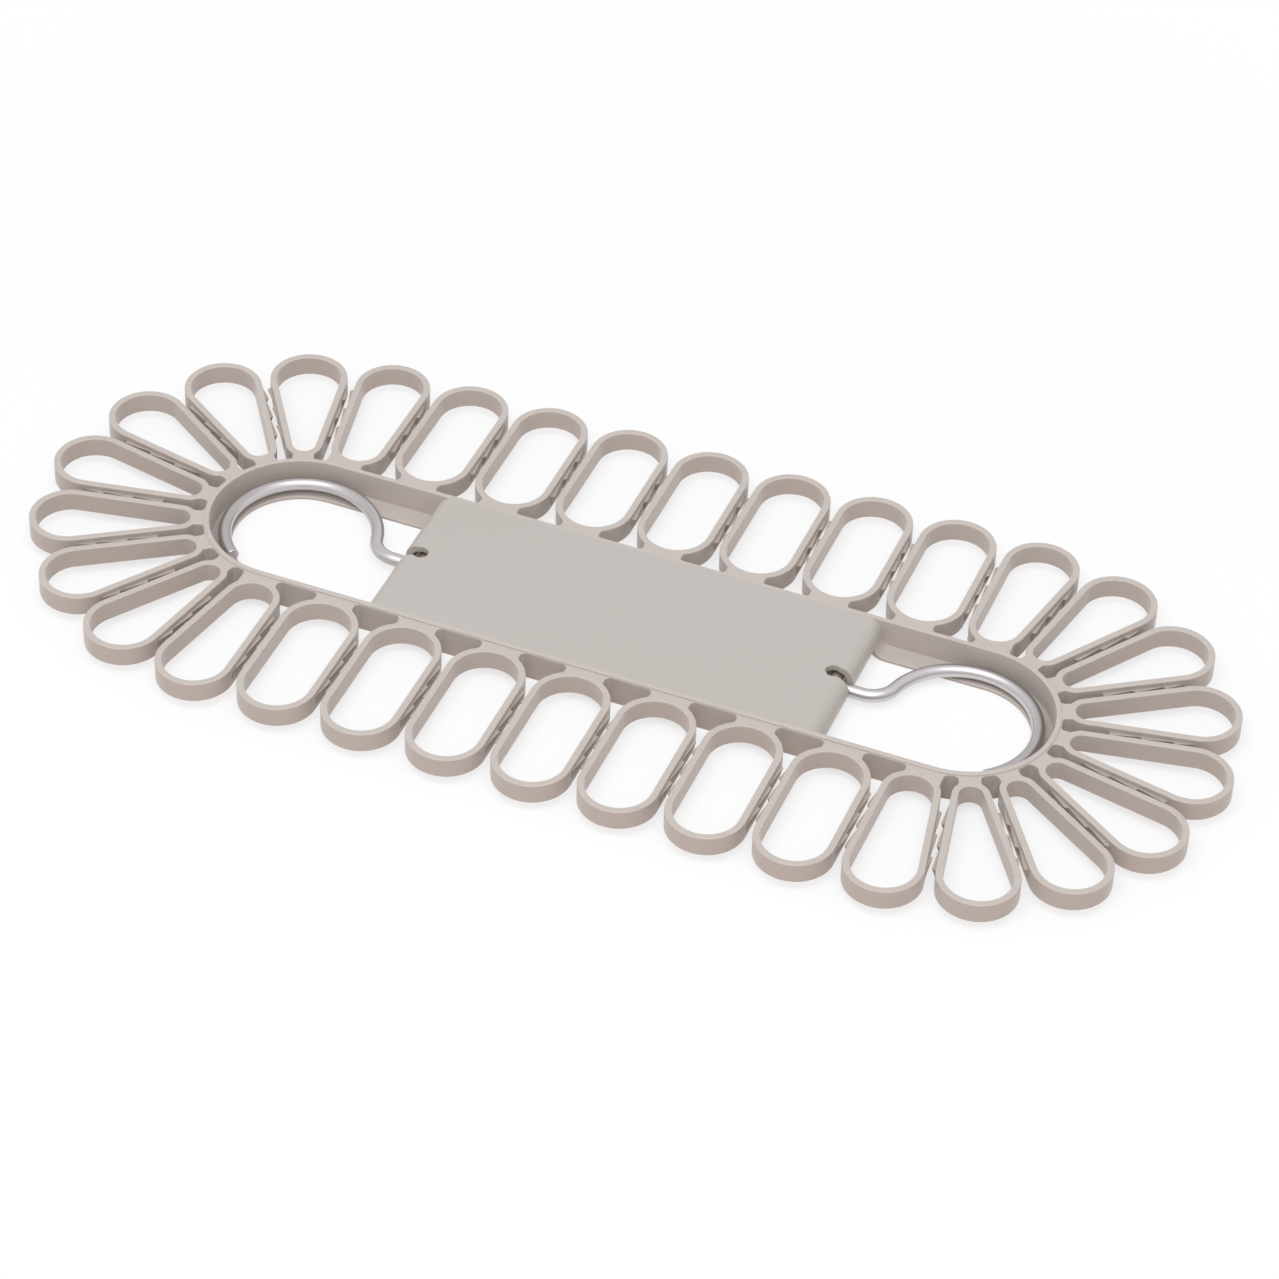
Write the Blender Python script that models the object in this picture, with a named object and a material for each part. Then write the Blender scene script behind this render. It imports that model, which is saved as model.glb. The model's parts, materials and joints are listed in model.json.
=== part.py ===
"""Clip drying rack with folding wire hooks.

A long plastic rail with round ends carries 32 hairpin loops. Saw teeth on the flanks of the
loops face each other across narrow gaps, and the clothes are pinched in those gaps. A plate
bridges the middle of the rail. A wire hook at each end of the plate turns in a clip under it,
stands up through a keyhole to hang the rack, and folds down flat into the window of its end.

Metres. +X along the rack, +Z up, origin under the middle of the rack at the rail's bottom edge.
"""

import math
from collections import namedtuple

import bmesh
import bpy
import numpy as np
from mathutils import Matrix, Vector
from mathutils.geometry import tessellate_polygon

# Clearance between neighbouring sub-parts, and the overrun of cuts that go right through
SEAT = 0.0003
OVERRUN = 0.002

# Rail
RAIL_RADIUS = 0.0280
RAIL_WALL = 0.0018
RAIL_FOOT_CHAMFER = 0.0003
LIP_RISE = 0.00053
LIP_SETBACK = 0.0003
LIP_ROUND = 0.0004

# Hairpin loops
LOOPS_PER_SIDE = 9
LOOPS_PER_END = 7
LOOP_PITCH = 0.0260
LOOP_GAP = 0.00274
LOOP_WALL = 0.00202
LOOP_HEIGHT = 0.00632
LOOP_LIFT = 0.0029
SIDE_STANDOFF = 0.00134
SIDE_LENGTH = 0.0500
END_STANDOFF = 0.00173
END_LENGTH = 0.04924
END_CENTRE_INSET = 0.00067

# Lands that carry the loops on the rail: their reach from the middle of the loop's root, as a
# share of the root's radius, and the fillets beside them
SIDE_LAND_SHARE = 0.516
END_LAND_SHARE = 0.582
CORNER_LAND_SHARE = 0.788
LAND_FILLET = 0.0013

# Saw teeth: rail_side teeth have their steep flank toward the rail, tip_side teeth toward the tip
TEETH = 3
TOOTH_PITCH = 0.0091
TOOTH_HEIGHT = 0.00125
TOOTH_VALLEY = 0.00025
TOOTH_STEEP = 0.0005
RAIL_SIDE_FIRST = 0.0136
TIP_SIDE_FIRST = 0.0181
TOOTH_DROP = 0.0015
TOOTH_DEPTH = 0.0030
TOOTH_MARGIN = 0.0003
TOOTH_FOOT_SHARE = 0.2

# Ledges inside the end windows
LEDGE_WIDTH = 0.0063
LEDGE_THICKNESS = 0.00115
RAMP_RADIUS = 0.00325

# Centre plate and the ribs under it
PLATE_THICKNESS = 0.0020
ROLL_RADIUS = 0.0045
SKIRT_BOTTOM = 0.0038
RIB_THICKNESS = 0.0012
RIB_DEPTH = 0.0038
RIB_SPACING = 0.0330
KEYHOLE_CLEARANCE = 0.00065

# Wire hooks
WIRE_DIAMETER = 0.0039
PIVOT_INSET = 0.0056
PIVOT_HEIGHT = 0.0040
FOOT_LENGTH = 0.0125
FOOT_BEND = 0.0032
STEM_LENGTH = 0.0088
NECK_BEND = 0.0082
EYE_CLEARANCE = 0.0018
EYE_INSET = 0.00085
EYE_DROP = 0.0001
TIP_ANGLE = math.radians(-52.0)
LEFT_TILT = math.radians(0.5)

# Clips under the plate that hold the feet of the hooks
CLIP_OFFSET = 0.0050
CLIP_WIDTH = 0.0055
CLIP_DEPTH = 0.0026
CLIP_MOUTH = 0.0032
CLIP_MOUTH_FLARE = 0.0006

# Facets
END_FACETS = 32
TIP_FACETS = 10
ROOT_FACETS = 3
FILLET_FACETS = 2
HOLE_ROOT_FACETS = 6
LEDGE_FACETS = 16
RAMP_FACETS = 5
ROLL_FACETS = 6
NOTCH_FACETS = 14
KEYHOLE_FACETS = 20
EYE_FACETS = 26
BEND_FACETS = 8
WIRE_RESOLUTION = 3
SMOOTH_ANGLE = math.radians(30.0)

# Sizes that follow from those above
WIRE_RADIUS = WIRE_DIAMETER / 2
RAIL_INNER_RADIUS = RAIL_RADIUS - RAIL_WALL
LOOP_TOP = LOOP_LIFT + LOOP_HEIGHT
RAIL_HEIGHT = LOOP_TOP + LIP_RISE
HALF_SIDE = (LOOPS_PER_SIDE - 1) / 2 * LOOP_PITCH
END_CENTRE = HALF_SIDE - END_CENTRE_INSET
END_STEP = math.pi / (LOOPS_PER_END + 1)
END_LEAN = END_STEP / 2
LAND_FACE = RAIL_RADIUS + SEAT
PLATE_UNDERSIDE = RAIL_HEIGHT - PLATE_THICKNESS
EYE_RADIUS = RAIL_INNER_RADIUS - EYE_CLEARANCE - WIRE_RADIUS
NECK_RISE = math.sqrt((EYE_RADIUS + NECK_BEND) ** 2 - (NECK_BEND + EYE_DROP) ** 2)
EYE_DISTANCE = STEM_LENGTH + NECK_RISE
EYE_FAR = EYE_DISTANCE + EYE_RADIUS
PIVOT_X = END_CENTRE - EYE_INSET - EYE_DISTANCE
PLATE_HALF_LENGTH = PIVOT_X + PIVOT_INSET
SKIRT_INNER = PLATE_HALF_LENGTH - PLATE_THICKNESS
SLOT_HALF_WIDTH = WIRE_RADIUS + SEAT
KEYHOLE_RADIUS = WIRE_RADIUS + KEYHOLE_CLEARANCE
REST_DROP = PIVOT_HEIGHT - WIRE_RADIUS - LEDGE_THICKNESS - SEAT
RIGHT_TILT = -math.asin(REST_DROP / EYE_FAR)

# One flank of a loop, seen from above with the tip up and the flank on the right. lean tilts it
# inward from the tip to the rail, offset is its distance from the loop's origin, and
# face_centre is where the centre of the rail's round end lies across the loop, if it does.
Side = namedtuple("Side", "lean offset land_share face_centre teeth")
Circle = namedtuple("Circle", "x y radius")

PLASTIC_SRGB = (0.773, 0.753, 0.733)
LOOP_SRGB = (0.760, 0.738, 0.718)
STEEL_SRGB = (0.765, 0.750, 0.745)


def clear_scene():
    for item in list(bpy.data.objects):
        bpy.data.objects.remove(item, do_unlink=True)


def material(name, srgb, roughness, metallic=0.0):
    made = bpy.data.materials.new(name)
    made.use_nodes = True
    shader = made.node_tree.nodes["Principled BSDF"]
    linear = [((channel + 0.055) / 1.055) ** 2.4 for channel in srgb]
    shader.inputs["Base Color"].default_value = (*linear, 1.0)
    shader.inputs["Roughness"].default_value = roughness
    shader.inputs["Metallic"].default_value = metallic
    made.diffuse_color = (*linear, 1.0)
    return made


def finish_mesh(name, mesh_builder, surface):
    bmesh.ops.recalc_face_normals(mesh_builder, faces=mesh_builder.faces)
    mesh = bpy.data.meshes.new(name)
    mesh_builder.to_mesh(mesh)
    mesh_builder.free()
    mesh.shade_smooth()
    mesh.set_sharp_from_angle(angle=SMOOTH_ANGLE)
    mesh.materials.append(surface)
    return mesh


def place(name, data, location=(0, 0, 0), turn=0.0, tilt=0.0):
    item = bpy.data.objects.new(name, data)
    item.location = location
    item.rotation_euler = (0, tilt, turn)
    bpy.context.scene.collection.objects.link(item)
    return item


def arc(centre, radius, start, end, steps):
    """Points on an arc, both ends included."""
    angles = [start + (end - start) * step / steps for step in range(steps + 1)]
    return [(centre[0] + radius * math.cos(a), centre[1] + radius * math.sin(a)) for a in angles]


def mirrored(points):
    return [(-x, y) for x, y in points]


def ring(mesh_builder, points, height):
    return [mesh_builder.verts.new((x, y, height)) for x, y in points]


def prism(name, outline, start, end, surface, plane):
    """Closed solid from an outline, extruded from start to end. plane names the outline's axes."""
    mesh_builder = bmesh.new()
    seat = Matrix.Identity(3) if plane == "xy" else Matrix(((1, 0, 0), (0, 0, 1), (0, 1, 0)))
    near = [mesh_builder.verts.new(seat @ Vector((a, b, start))) for a, b in outline]
    far = [mesh_builder.verts.new(seat @ Vector((a, b, end))) for a, b in outline]
    mesh_builder.faces.new(near)
    mesh_builder.faces.new(far)
    for index in range(len(outline)):
        mesh_builder.faces.new((near[index - 1], near[index], far[index], far[index - 1]))
    return finish_mesh(name, mesh_builder, surface)


def swept_band(name, sections, surface):
    """Closed solid through a row of sections with as many points each."""
    mesh_builder = bmesh.new()
    rings = [[mesh_builder.verts.new(point) for point in section] for section in sections]
    mesh_builder.faces.new(rings[0])
    mesh_builder.faces.new(rings[-1])
    for one, two in zip(rings, rings[1:]):
        for index in range(len(one)):
            mesh_builder.faces.new((one[index - 1], one[index], two[index], two[index - 1]))
    return finish_mesh(name, mesh_builder, surface)


def build_rail(surface):
    """Two straight sides and two round ends, which make one ring.

    Its lip stands a little above the loops and is set back there.
    """
    lip = RAIL_RADIUS - LIP_SETBACK
    section = [
        (RAIL_INNER_RADIUS, 0),
        (RAIL_RADIUS - RAIL_FOOT_CHAMFER, 0),
        (RAIL_RADIUS, RAIL_FOOT_CHAMFER),
        (RAIL_RADIUS, LOOP_TOP),
        (lip, LOOP_TOP),
    ]
    crown = (lip - LIP_ROUND, RAIL_HEIGHT - LIP_ROUND)
    section += arc(crown, LIP_ROUND, 0, math.pi / 2, FILLET_FACETS)
    section.append((RAIL_INNER_RADIUS, RAIL_HEIGHT))
    straight = [(-END_CENTRE, 0, 1), (END_CENTRE, 0, 1)]
    bend = [(END_CENTRE + SEAT, 0, 1)]
    for step in range(1, END_FACETS):
        angle = math.pi / 2 - math.pi * step / END_FACETS
        bend.append((END_CENTRE, math.cos(angle), math.sin(angle)))
    bend.append((END_CENTRE + SEAT, 0, -1))
    for stations, names in (
        (straight, ("rear_rail", "front_rail")),
        (bend, ("right_rail_end", "left_rail_end")),
    ):
        sections = [
            [(x + radius * across, radius * along, height) for radius, height in section]
            for x, across, along in stations
        ]
        mesh = swept_band(names[0], sections, surface)
        place(names[0], mesh)
        place(names[1], mesh, turn=math.pi)


def ledge_section(inner, outer, top, bottom):
    return [(*inner, top), (*outer, top), (*outer, bottom), (*inner, bottom)]


def build_ledges(surface):
    """Flange round the inside of each end window, ramped up to the skirt of the plate."""
    outer = RAIL_INNER_RADIUS - SEAT
    inner = RAIL_INNER_RADIUS - LEDGE_WIDTH
    ramp_x = PLATE_HALF_LENGTH + RAMP_RADIUS
    ramp_z = LEDGE_THICKNESS + RAMP_RADIUS
    start = math.asin((ramp_z - SKIRT_BOTTOM + SEAT) / RAMP_RADIUS)
    leg = []
    for step in range(RAMP_FACETS + 1):
        angle = start + (math.pi / 2 - start) * step / RAMP_FACETS
        top = (ramp_x - RAMP_RADIUS * math.cos(angle), ramp_z - RAMP_RADIUS * math.sin(angle))
        under_x = ramp_x - (ramp_x - SKIRT_INNER) * math.cos(angle)
        leg.append((top, (under_x, ramp_z * (1 - math.sin(angle)))))
    sections = [ramp_section(top, under, inner, outer) for top, under in leg]
    for step in range(LEDGE_FACETS + 1):
        angle = math.pi / 2 - math.pi * step / LEDGE_FACETS
        across = math.cos(angle)
        along = math.sin(angle)
        near = (END_CENTRE + inner * across, inner * along)
        far = (END_CENTRE + outer * across, outer * along)
        sections.append(ledge_section(near, far, LEDGE_THICKNESS, 0))
    sections += [ramp_section(top, under, -inner, -outer) for top, under in reversed(leg)]
    mesh = swept_band("ledge", sections, surface)
    place("right_ledge", mesh)
    place("left_ledge", mesh, turn=math.pi)


def ramp_section(top, under, inner, outer):
    return [
        (top[0], inner, top[1]),
        (top[0], outer, top[1]),
        (under[0], outer, under[1]),
        (under[0], inner, under[1]),
    ]


def plate_outline():
    """The plate from the side: flat top, rolled ends and short skirts."""
    roll_x = PLATE_HALF_LENGTH - ROLL_RADIUS
    roll_z = RAIL_HEIGHT - ROLL_RADIUS
    outer = arc((roll_x, roll_z), ROLL_RADIUS, 0, math.pi / 2, ROLL_FACETS)
    inner_radius = ROLL_RADIUS - PLATE_THICKNESS
    inner = arc((roll_x, roll_z), inner_radius, 0, math.pi / 2, ROLL_FACETS)
    right = [(PLATE_HALF_LENGTH, SKIRT_BOTTOM)] + outer
    left = [(SKIRT_INNER, SKIRT_BOTTOM)] + inner
    return right + mirrored(right)[::-1] + mirrored(left) + left[::-1]


def build_ribs(surface):
    """Cross ribs under the plate, from one side of the rail to the other."""
    half_width = RAIL_INNER_RADIUS - SEAT
    for name, side in (("left", -1), ("middle", 0), ("right", 1)):
        near = side * RIB_SPACING - RIB_THICKNESS / 2
        far = side * RIB_SPACING + RIB_THICKNESS / 2
        top = PLATE_UNDERSIDE - SEAT
        foot = PLATE_UNDERSIDE - RIB_DEPTH
        outline = [(near, foot), (far, foot), (far, top), (near, top)]
        rib = prism(f"{name}_plate_rib", outline, -half_width, half_width, surface, "xz")
        place(f"{name}_plate_rib", rib)


def keyhole_outline(side):
    """Round hole over the pivot, with a slot from it out through the skirt."""
    mouth = math.asin(SLOT_HALF_WIDTH / KEYHOLE_RADIUS)
    points = arc((PIVOT_X, 0), KEYHOLE_RADIUS, mouth, 2 * math.pi - mouth, KEYHOLE_FACETS)
    points.append((PLATE_HALF_LENGTH + OVERRUN, -SLOT_HALF_WIDTH))
    points.append((PLATE_HALF_LENGTH + OVERRUN, SLOT_HALF_WIDTH))
    return [(side * x, y) for x, y in points]


def build_plate(surface):
    half_width = RAIL_INNER_RADIUS - SEAT
    mesh = prism("centre_plate", plate_outline(), -half_width, half_width, surface, "xz")
    plate = place("centre_plate", mesh)
    for name, side in (("left", -1), ("right", 1)):
        top = RAIL_HEIGHT + OVERRUN
        cut = prism("cut", keyhole_outline(side), -OVERRUN, top, surface, "xy")
        cutter = place(f"{name}_keyhole_cutter", cut)
        cutter.hide_render = True
        cutter.display_type = "WIRE"
        boolean = plate.modifiers.new(f"{name}_keyhole", "BOOLEAN")
        boolean.operation = "DIFFERENCE"
        boolean.solver = "EXACT"
        boolean.object = cutter


def clip_outline():
    """C-shaped clip from the side, open at the bottom, with its top corner clear of the roll."""
    roll = (PLATE_HALF_LENGTH - ROLL_RADIUS, RAIL_HEIGHT - ROLL_RADIUS)
    roll_radius = ROLL_RADIUS - PLATE_THICKNESS - SEAT
    notch_radius = WIRE_RADIUS + SEAT
    outside = SKIRT_INNER - SEAT
    inside = 2 * PIVOT_X - outside
    bottom = PIVOT_HEIGHT - CLIP_DEPTH
    flare = CLIP_MOUTH / 2 + CLIP_MOUTH_FLARE
    mouth = math.asin(CLIP_MOUTH / 2 / notch_radius)
    start = -math.pi / 2 - mouth
    end = -math.pi * 5 / 2 + mouth
    outline = [(outside, bottom)] + arc(roll, roll_radius, 0, math.pi / 2, ROLL_FACETS)
    outline += [(inside, PLATE_UNDERSIDE - SEAT), (inside, bottom), (PIVOT_X - flare, bottom)]
    outline += arc((PIVOT_X, PIVOT_HEIGHT), notch_radius, start, end, NOTCH_FACETS)
    outline.append((PIVOT_X + flare, bottom))
    return outline


def build_clips(surface):
    far = CLIP_OFFSET + CLIP_WIDTH
    right = prism("right_hook_clip", clip_outline(), CLIP_OFFSET, far, surface, "xz")
    left = prism("left_hook_clip", mirrored(clip_outline()), CLIP_OFFSET, far, surface, "xz")
    place("right_hook_clip", right)
    place("left_hook_clip", left)


def hook_route():
    """The wire's centre line, seen from above, with its pivot at the origin.

    It runs along the foot, round the foot's bend into the stem, then through a bend to the
    left and round the eye to the right. The two bends touch, so their centres are as far
    apart as their radii together.
    """
    contact = math.atan2(-EYE_DROP - NECK_BEND, NECK_RISE)
    route = [(0, FOOT_LENGTH)]
    route += arc((FOOT_BEND, FOOT_BEND), FOOT_BEND, math.pi, math.pi * 3 / 2, BEND_FACETS)
    route += arc((STEM_LENGTH, NECK_BEND), NECK_BEND, -math.pi / 2, contact, BEND_FACETS)
    eye = arc((EYE_DISTANCE, -EYE_DROP), EYE_RADIUS, math.pi + contact, TIP_ANGLE, EYE_FACETS)
    return route + eye[1:]


def build_hook(name, side, tilt, surface):
    curve = bpy.data.curves.new(name, "CURVE")
    curve.dimensions = "3D"
    curve.bevel_depth = WIRE_RADIUS
    curve.bevel_resolution = WIRE_RESOLUTION
    curve.use_fill_caps = True
    curve.materials.append(surface)
    route = hook_route()
    spline = curve.splines.new("POLY")
    spline.points.add(len(route) - 1)
    spline.use_smooth = True
    for point, (out, across) in zip(spline.points, route):
        point.co = (side * out, across, 0, 1)
    place(name, curve, location=(side * PIVOT_X, 0, PIVOT_HEIGHT), tilt=-side * tilt)


def touching_circle(right, left, limit, outward):
    """Circle that touches both flanks and the line across the loop at limit."""
    rows = [
        (math.cos(right.lean), -math.sin(right.lean), 1),
        (-math.cos(left.lean), -math.sin(left.lean), 1),
        (0, 1, outward),
    ]
    x, y, radius = np.linalg.solve(np.array(rows), np.array([right.offset, left.offset, limit]))
    return Circle(float(x), float(y), float(radius))


def saw_profile(teeth, limit):
    """Distances from the rail's centre line along the flank, each with the height there."""
    fall = TOOTH_PITCH - TOOTH_STEEP
    before, after = (TOOTH_STEEP, fall) if teeth == "rail_side" else (fall, TOOTH_STEEP)
    first = RAIL_RADIUS + (RAIL_SIDE_FIRST if teeth == "rail_side" else TIP_SIDE_FIRST)
    places = [first + index * TOOTH_PITCH for index in range(TEETH)]
    peaks = [peak for peak in places if peak + TOOTH_STEEP < limit]
    if not peaks:
        return []
    profile = [(peaks[0] - before, 0)]
    for peak in peaks:
        profile.append((peak, TOOTH_HEIGHT))
        profile.append((peak + after, TOOTH_VALLEY))
    profile[-1] = (min(peaks[-1] + after, limit - TOOTH_MARGIN), 0)
    return profile


def point_on_round(side, circle, distance):
    """Point of a circle's outer side at a distance along the flank's direction."""
    along = (math.sin(side.lean), math.cos(side.lean))
    swing = math.asin((distance - circle.x * along[0] - circle.y * along[1]) / circle.radius)
    angle = swing - side.lean
    return angle, arc((circle.x, circle.y), circle.radius, angle, angle, 1)[0]


def flank_reach(side, root, tip):
    """Where the straight flank starts and ends, and the saw profile between."""
    along = (math.sin(side.lean), math.cos(side.lean))
    start = root.x * along[0] + root.y * along[1]
    end = tip.x * along[0] + tip.y * along[1]
    profile = saw_profile(side.teeth, end)
    if profile:
        start = min(start, profile[0][0] - TOOTH_MARGIN)
    return start, end, profile


def land_outline(side, root, root_end):
    """From the middle of the land's face to the start of the flank, on the right side."""
    fillet_x = root.x + side.land_share * root.radius + LAND_FILLET
    if side.face_centre is None:
        points = []
        foot = LAND_FACE + LAND_FILLET
        foot_angle = -math.pi / 2
    else:
        off = fillet_x - side.face_centre
        foot = math.sqrt((LAND_FACE + LAND_FILLET) ** 2 - off**2)
        rail_angle = math.atan2(foot, off)
        foot_angle = rail_angle - math.pi
        rail = (side.face_centre, 0)
        points = arc(rail, LAND_FACE, math.pi / 2, rail_angle, FILLET_FACETS)[:-1]
    points += arc((fillet_x, foot), LAND_FILLET, foot_angle, -math.pi, FILLET_FACETS)
    reach = root.radius + LAND_FILLET
    head = root.y - math.sqrt(reach**2 - (fillet_x - root.x) ** 2)
    lean = math.atan2(root.y - head, root.x - fillet_x)
    points += arc((fillet_x, head), LAND_FILLET, math.pi, lean, FILLET_FACETS)
    middle = (root.x, root.y)
    points += arc(middle, root.radius, lean - math.pi, root_end, ROOT_FACETS)[1:]
    return points


def reversed_side(circle):
    return Circle(-circle.x, circle.y, circle.radius)


def toothed_flank(mesh_builder, low, high, profile, start, end, start_at, end_at):
    """Flank wall between two upright edges, with the row of teeth standing out of it.

    low and high are the wall's bottom and top corners. The teeth have a flat top, which keeps
    the cloth from slipping down, and lean back to the wall below it.
    """
    if not profile:
        mesh_builder.faces.new((low[0], low[1], high[1], high[0]))
        return
    run = Vector(end_at) - Vector(start_at)
    along = run.normalized()
    outward = Vector((along.y, -along.x))
    if outward.dot(Vector(start_at)) < 0:
        outward.negate()
    scale = run.length / (end - start)
    shelf = []
    foot = []
    for distance, height in profile:
        base = Vector(start_at) + along * (distance - start) * scale
        tip = base + outward * height
        toe = base + outward * height * TOOTH_FOOT_SHARE
        shelf.append(mesh_builder.verts.new((*tip, LOOP_HEIGHT - TOOTH_DROP)))
        foot.append(mesh_builder.verts.new((*toe, LOOP_HEIGHT - TOOTH_DROP - TOOTH_DEPTH)))
    mesh_builder.faces.new(shelf)
    mesh_builder.faces.new(foot)
    for index in range(len(profile) - 1):
        mesh_builder.faces.new((shelf[index], shelf[index + 1], foot[index + 1], foot[index]))
    mesh_builder.faces.new((high[0], high[1], shelf[-1], shelf[0]))
    mesh_builder.faces.new((low[0], low[1], foot[-1], foot[0]))
    mesh_builder.faces.new((low[0], high[0], shelf[0], foot[0]))
    mesh_builder.faces.new((low[1], high[1], shelf[-1], foot[-1]))


def loop_mesh(name, right, left, standoff, length, surface):
    """Hairpin loop with its tip toward +Y, on its land, with its underside at zero."""
    root_limit = RAIL_RADIUS + standoff
    tip_limit = root_limit + length
    root = touching_circle(right, left, root_limit, -1)
    tip = touching_circle(right, left, tip_limit, 1)
    halves = []
    for side, near, far in (
        (right, root, tip),
        (left, reversed_side(root), reversed_side(tip)),
    ):
        start, end, profile = flank_reach(side, near, far)
        root_end, start_at = point_on_round(side, near, start)
        points = land_outline(side, near, root_end)
        halves.append((points, start, end, profile, start_at, -side.lean))
    right_points = halves[0][0]
    left_points = mirrored(halves[1][0])
    round_tip = arc((tip.x, tip.y), tip.radius, -right.lean, math.pi + left.lean, TIP_FACETS)
    if right.face_centre is not None and left.face_centre is not None:
        left_points = left_points[1:]
    outline = right_points + round_tip + left_points[::-1]
    right_edge = (len(right_points) - 1, len(right_points))
    left_edge = (len(right_points) + len(round_tip), len(right_points) + len(round_tip) - 1)

    hole = arc((tip.x, tip.y), tip.radius - LOOP_WALL, -right.lean, math.pi + left.lean, TIP_FACETS)
    hole += arc(
        (root.x, root.y),
        root.radius - LOOP_WALL,
        math.pi + left.lean,
        2 * math.pi - right.lean,
        HOLE_ROOT_FACETS,
    )

    mesh_builder = bmesh.new()
    outer_low = ring(mesh_builder, outline, 0)
    outer_high = ring(mesh_builder, outline, LOOP_HEIGHT)
    hole_low = ring(mesh_builder, hole, 0)
    hole_high = ring(mesh_builder, hole, LOOP_HEIGHT)
    flat = [[Vector((x, y, 0)) for x, y in outline], [Vector((x, y, 0)) for x, y in hole]]
    for low, high in ((outer_low, outer_high), (hole_low, hole_high)):
        for index in range(len(low)):
            before = (index - 1) % len(low)
            if low is outer_low and before in (right_edge[0], left_edge[1]):
                continue
            mesh_builder.faces.new((low[before], low[index], high[index], high[before]))
    for a, b, c in tessellate_polygon(flat):
        lows = outer_low + hole_low
        highs = outer_high + hole_high
        mesh_builder.faces.new((lows[a], lows[b], lows[c]))
        mesh_builder.faces.new((highs[a], highs[b], highs[c]))
    for edge, half in ((right_edge, halves[0]), (left_edge, halves[1])):
        low = [outer_low[index] for index in edge]
        high = [outer_high[index] for index in edge]
        start_at, end_at = (outline[index] for index in edge)
        toothed_flank(mesh_builder, low, high, half[3], half[1], half[2], start_at, end_at)
    return finish_mesh(name, mesh_builder, surface)


def swapped(right, left, flip):
    return (left, right) if flip else (right, left)


def build_loops(surface):
    """Loops along both sides and round both ends.

    Flanks that face the rack's right end have their steep teeth toward the rail, flanks that
    face its left end toward the tips, so that the teeth on the two sides of a gap interleave.
    """
    flank = (LOOP_PITCH - LOOP_GAP) / 2
    lean_offset = -END_CENTRE_INSET * math.cos(END_LEAN) - LOOP_GAP / 2
    last = LOOPS_PER_SIDE - 1
    for side_name, turn in (("rear", 0.0), ("front", math.pi)):
        front = side_name == "front"
        meshes = {}
        for index in range(LOOPS_PER_SIDE):
            kind = "first" if index == 0 else "last" if index == last else "middle"
            if kind not in meshes:
                sides = []
                for teeth, corner in (("rail_side", "last"), ("tip_side", "first")):
                    if kind == corner:
                        inset = -END_CENTRE_INSET
                        sides.append(
                            Side(END_LEAN, lean_offset, CORNER_LAND_SHARE, inset, teeth)
                        )
                    else:
                        sides.append(Side(0.0, flank, SIDE_LAND_SHARE, None, teeth))
                right, left = swapped(*sides, front)
                meshes[kind] = loop_mesh(
                    f"{side_name}_{kind}_loop", right, left, SIDE_STANDOFF, SIDE_LENGTH, surface
                )
            x = (index - last / 2) * LOOP_PITCH
            place(f"{side_name}_loop_{index + 1}", meshes[kind], (x, 0, LOOP_LIFT), turn)

    middle = (LOOPS_PER_END + 1) / 2
    for end_name, end in (("right", 1), ("left", -1)):
        meshes = {}
        for index in range(1, LOOPS_PER_END + 1):
            if index == middle:
                facing = "tip_side" if end > 0 else "rail_side"
                teeth = (facing, facing)
            elif index < middle:
                teeth = ("rail_side", "tip_side")
            else:
                teeth = ("tip_side", "rail_side")
            if teeth not in meshes:
                right, left = (
                    Side(END_LEAN, -LOOP_GAP / 2, END_LAND_SHARE, 0.0, row) for row in teeth
                )
                meshes[teeth] = loop_mesh(
                    f"{end_name}_end_loop", right, left, END_STANDOFF, END_LENGTH, surface
                )
            turn = -end * index * END_STEP
            spot = (end * END_CENTRE, 0, LOOP_LIFT)
            place(f"{end_name}_loop_{index}", meshes[teeth], spot, turn)


def main():
    clear_scene()
    build_rail(material("rail_plastic", PLASTIC_SRGB, 0.5))
    build_ledges(material("ledge_plastic", PLASTIC_SRGB, 0.5))
    build_plate(material("plate_plastic", PLASTIC_SRGB, 0.45))
    build_ribs(material("rib_plastic", PLASTIC_SRGB, 0.5))
    build_clips(material("clip_plastic", PLASTIC_SRGB, 0.5))
    build_loops(material("loop_plastic", LOOP_SRGB, 0.5))
    steel = material("hook_steel", STEEL_SRGB, 0.3, metallic=1.0)
    build_hook("left_hook", -1, LEFT_TILT, steel)
    build_hook("right_hook", 1, RIGHT_TILT, steel)


main()
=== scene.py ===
"""Looks of the clip drying rack: satin moulded plastic and two folding hooks of steel wire.

The real rack is one moulding, so the pieces of plastic here run into each other, without the
seams that part them in the frame. Metres, in the frame's own axes: +X along the rack, +Z up.
"""

import json
import math
from collections import namedtuple

import bmesh
import bpy
import numpy as np
from mathutils import Matrix, Vector
from mathutils.geometry import tessellate_polygon


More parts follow.
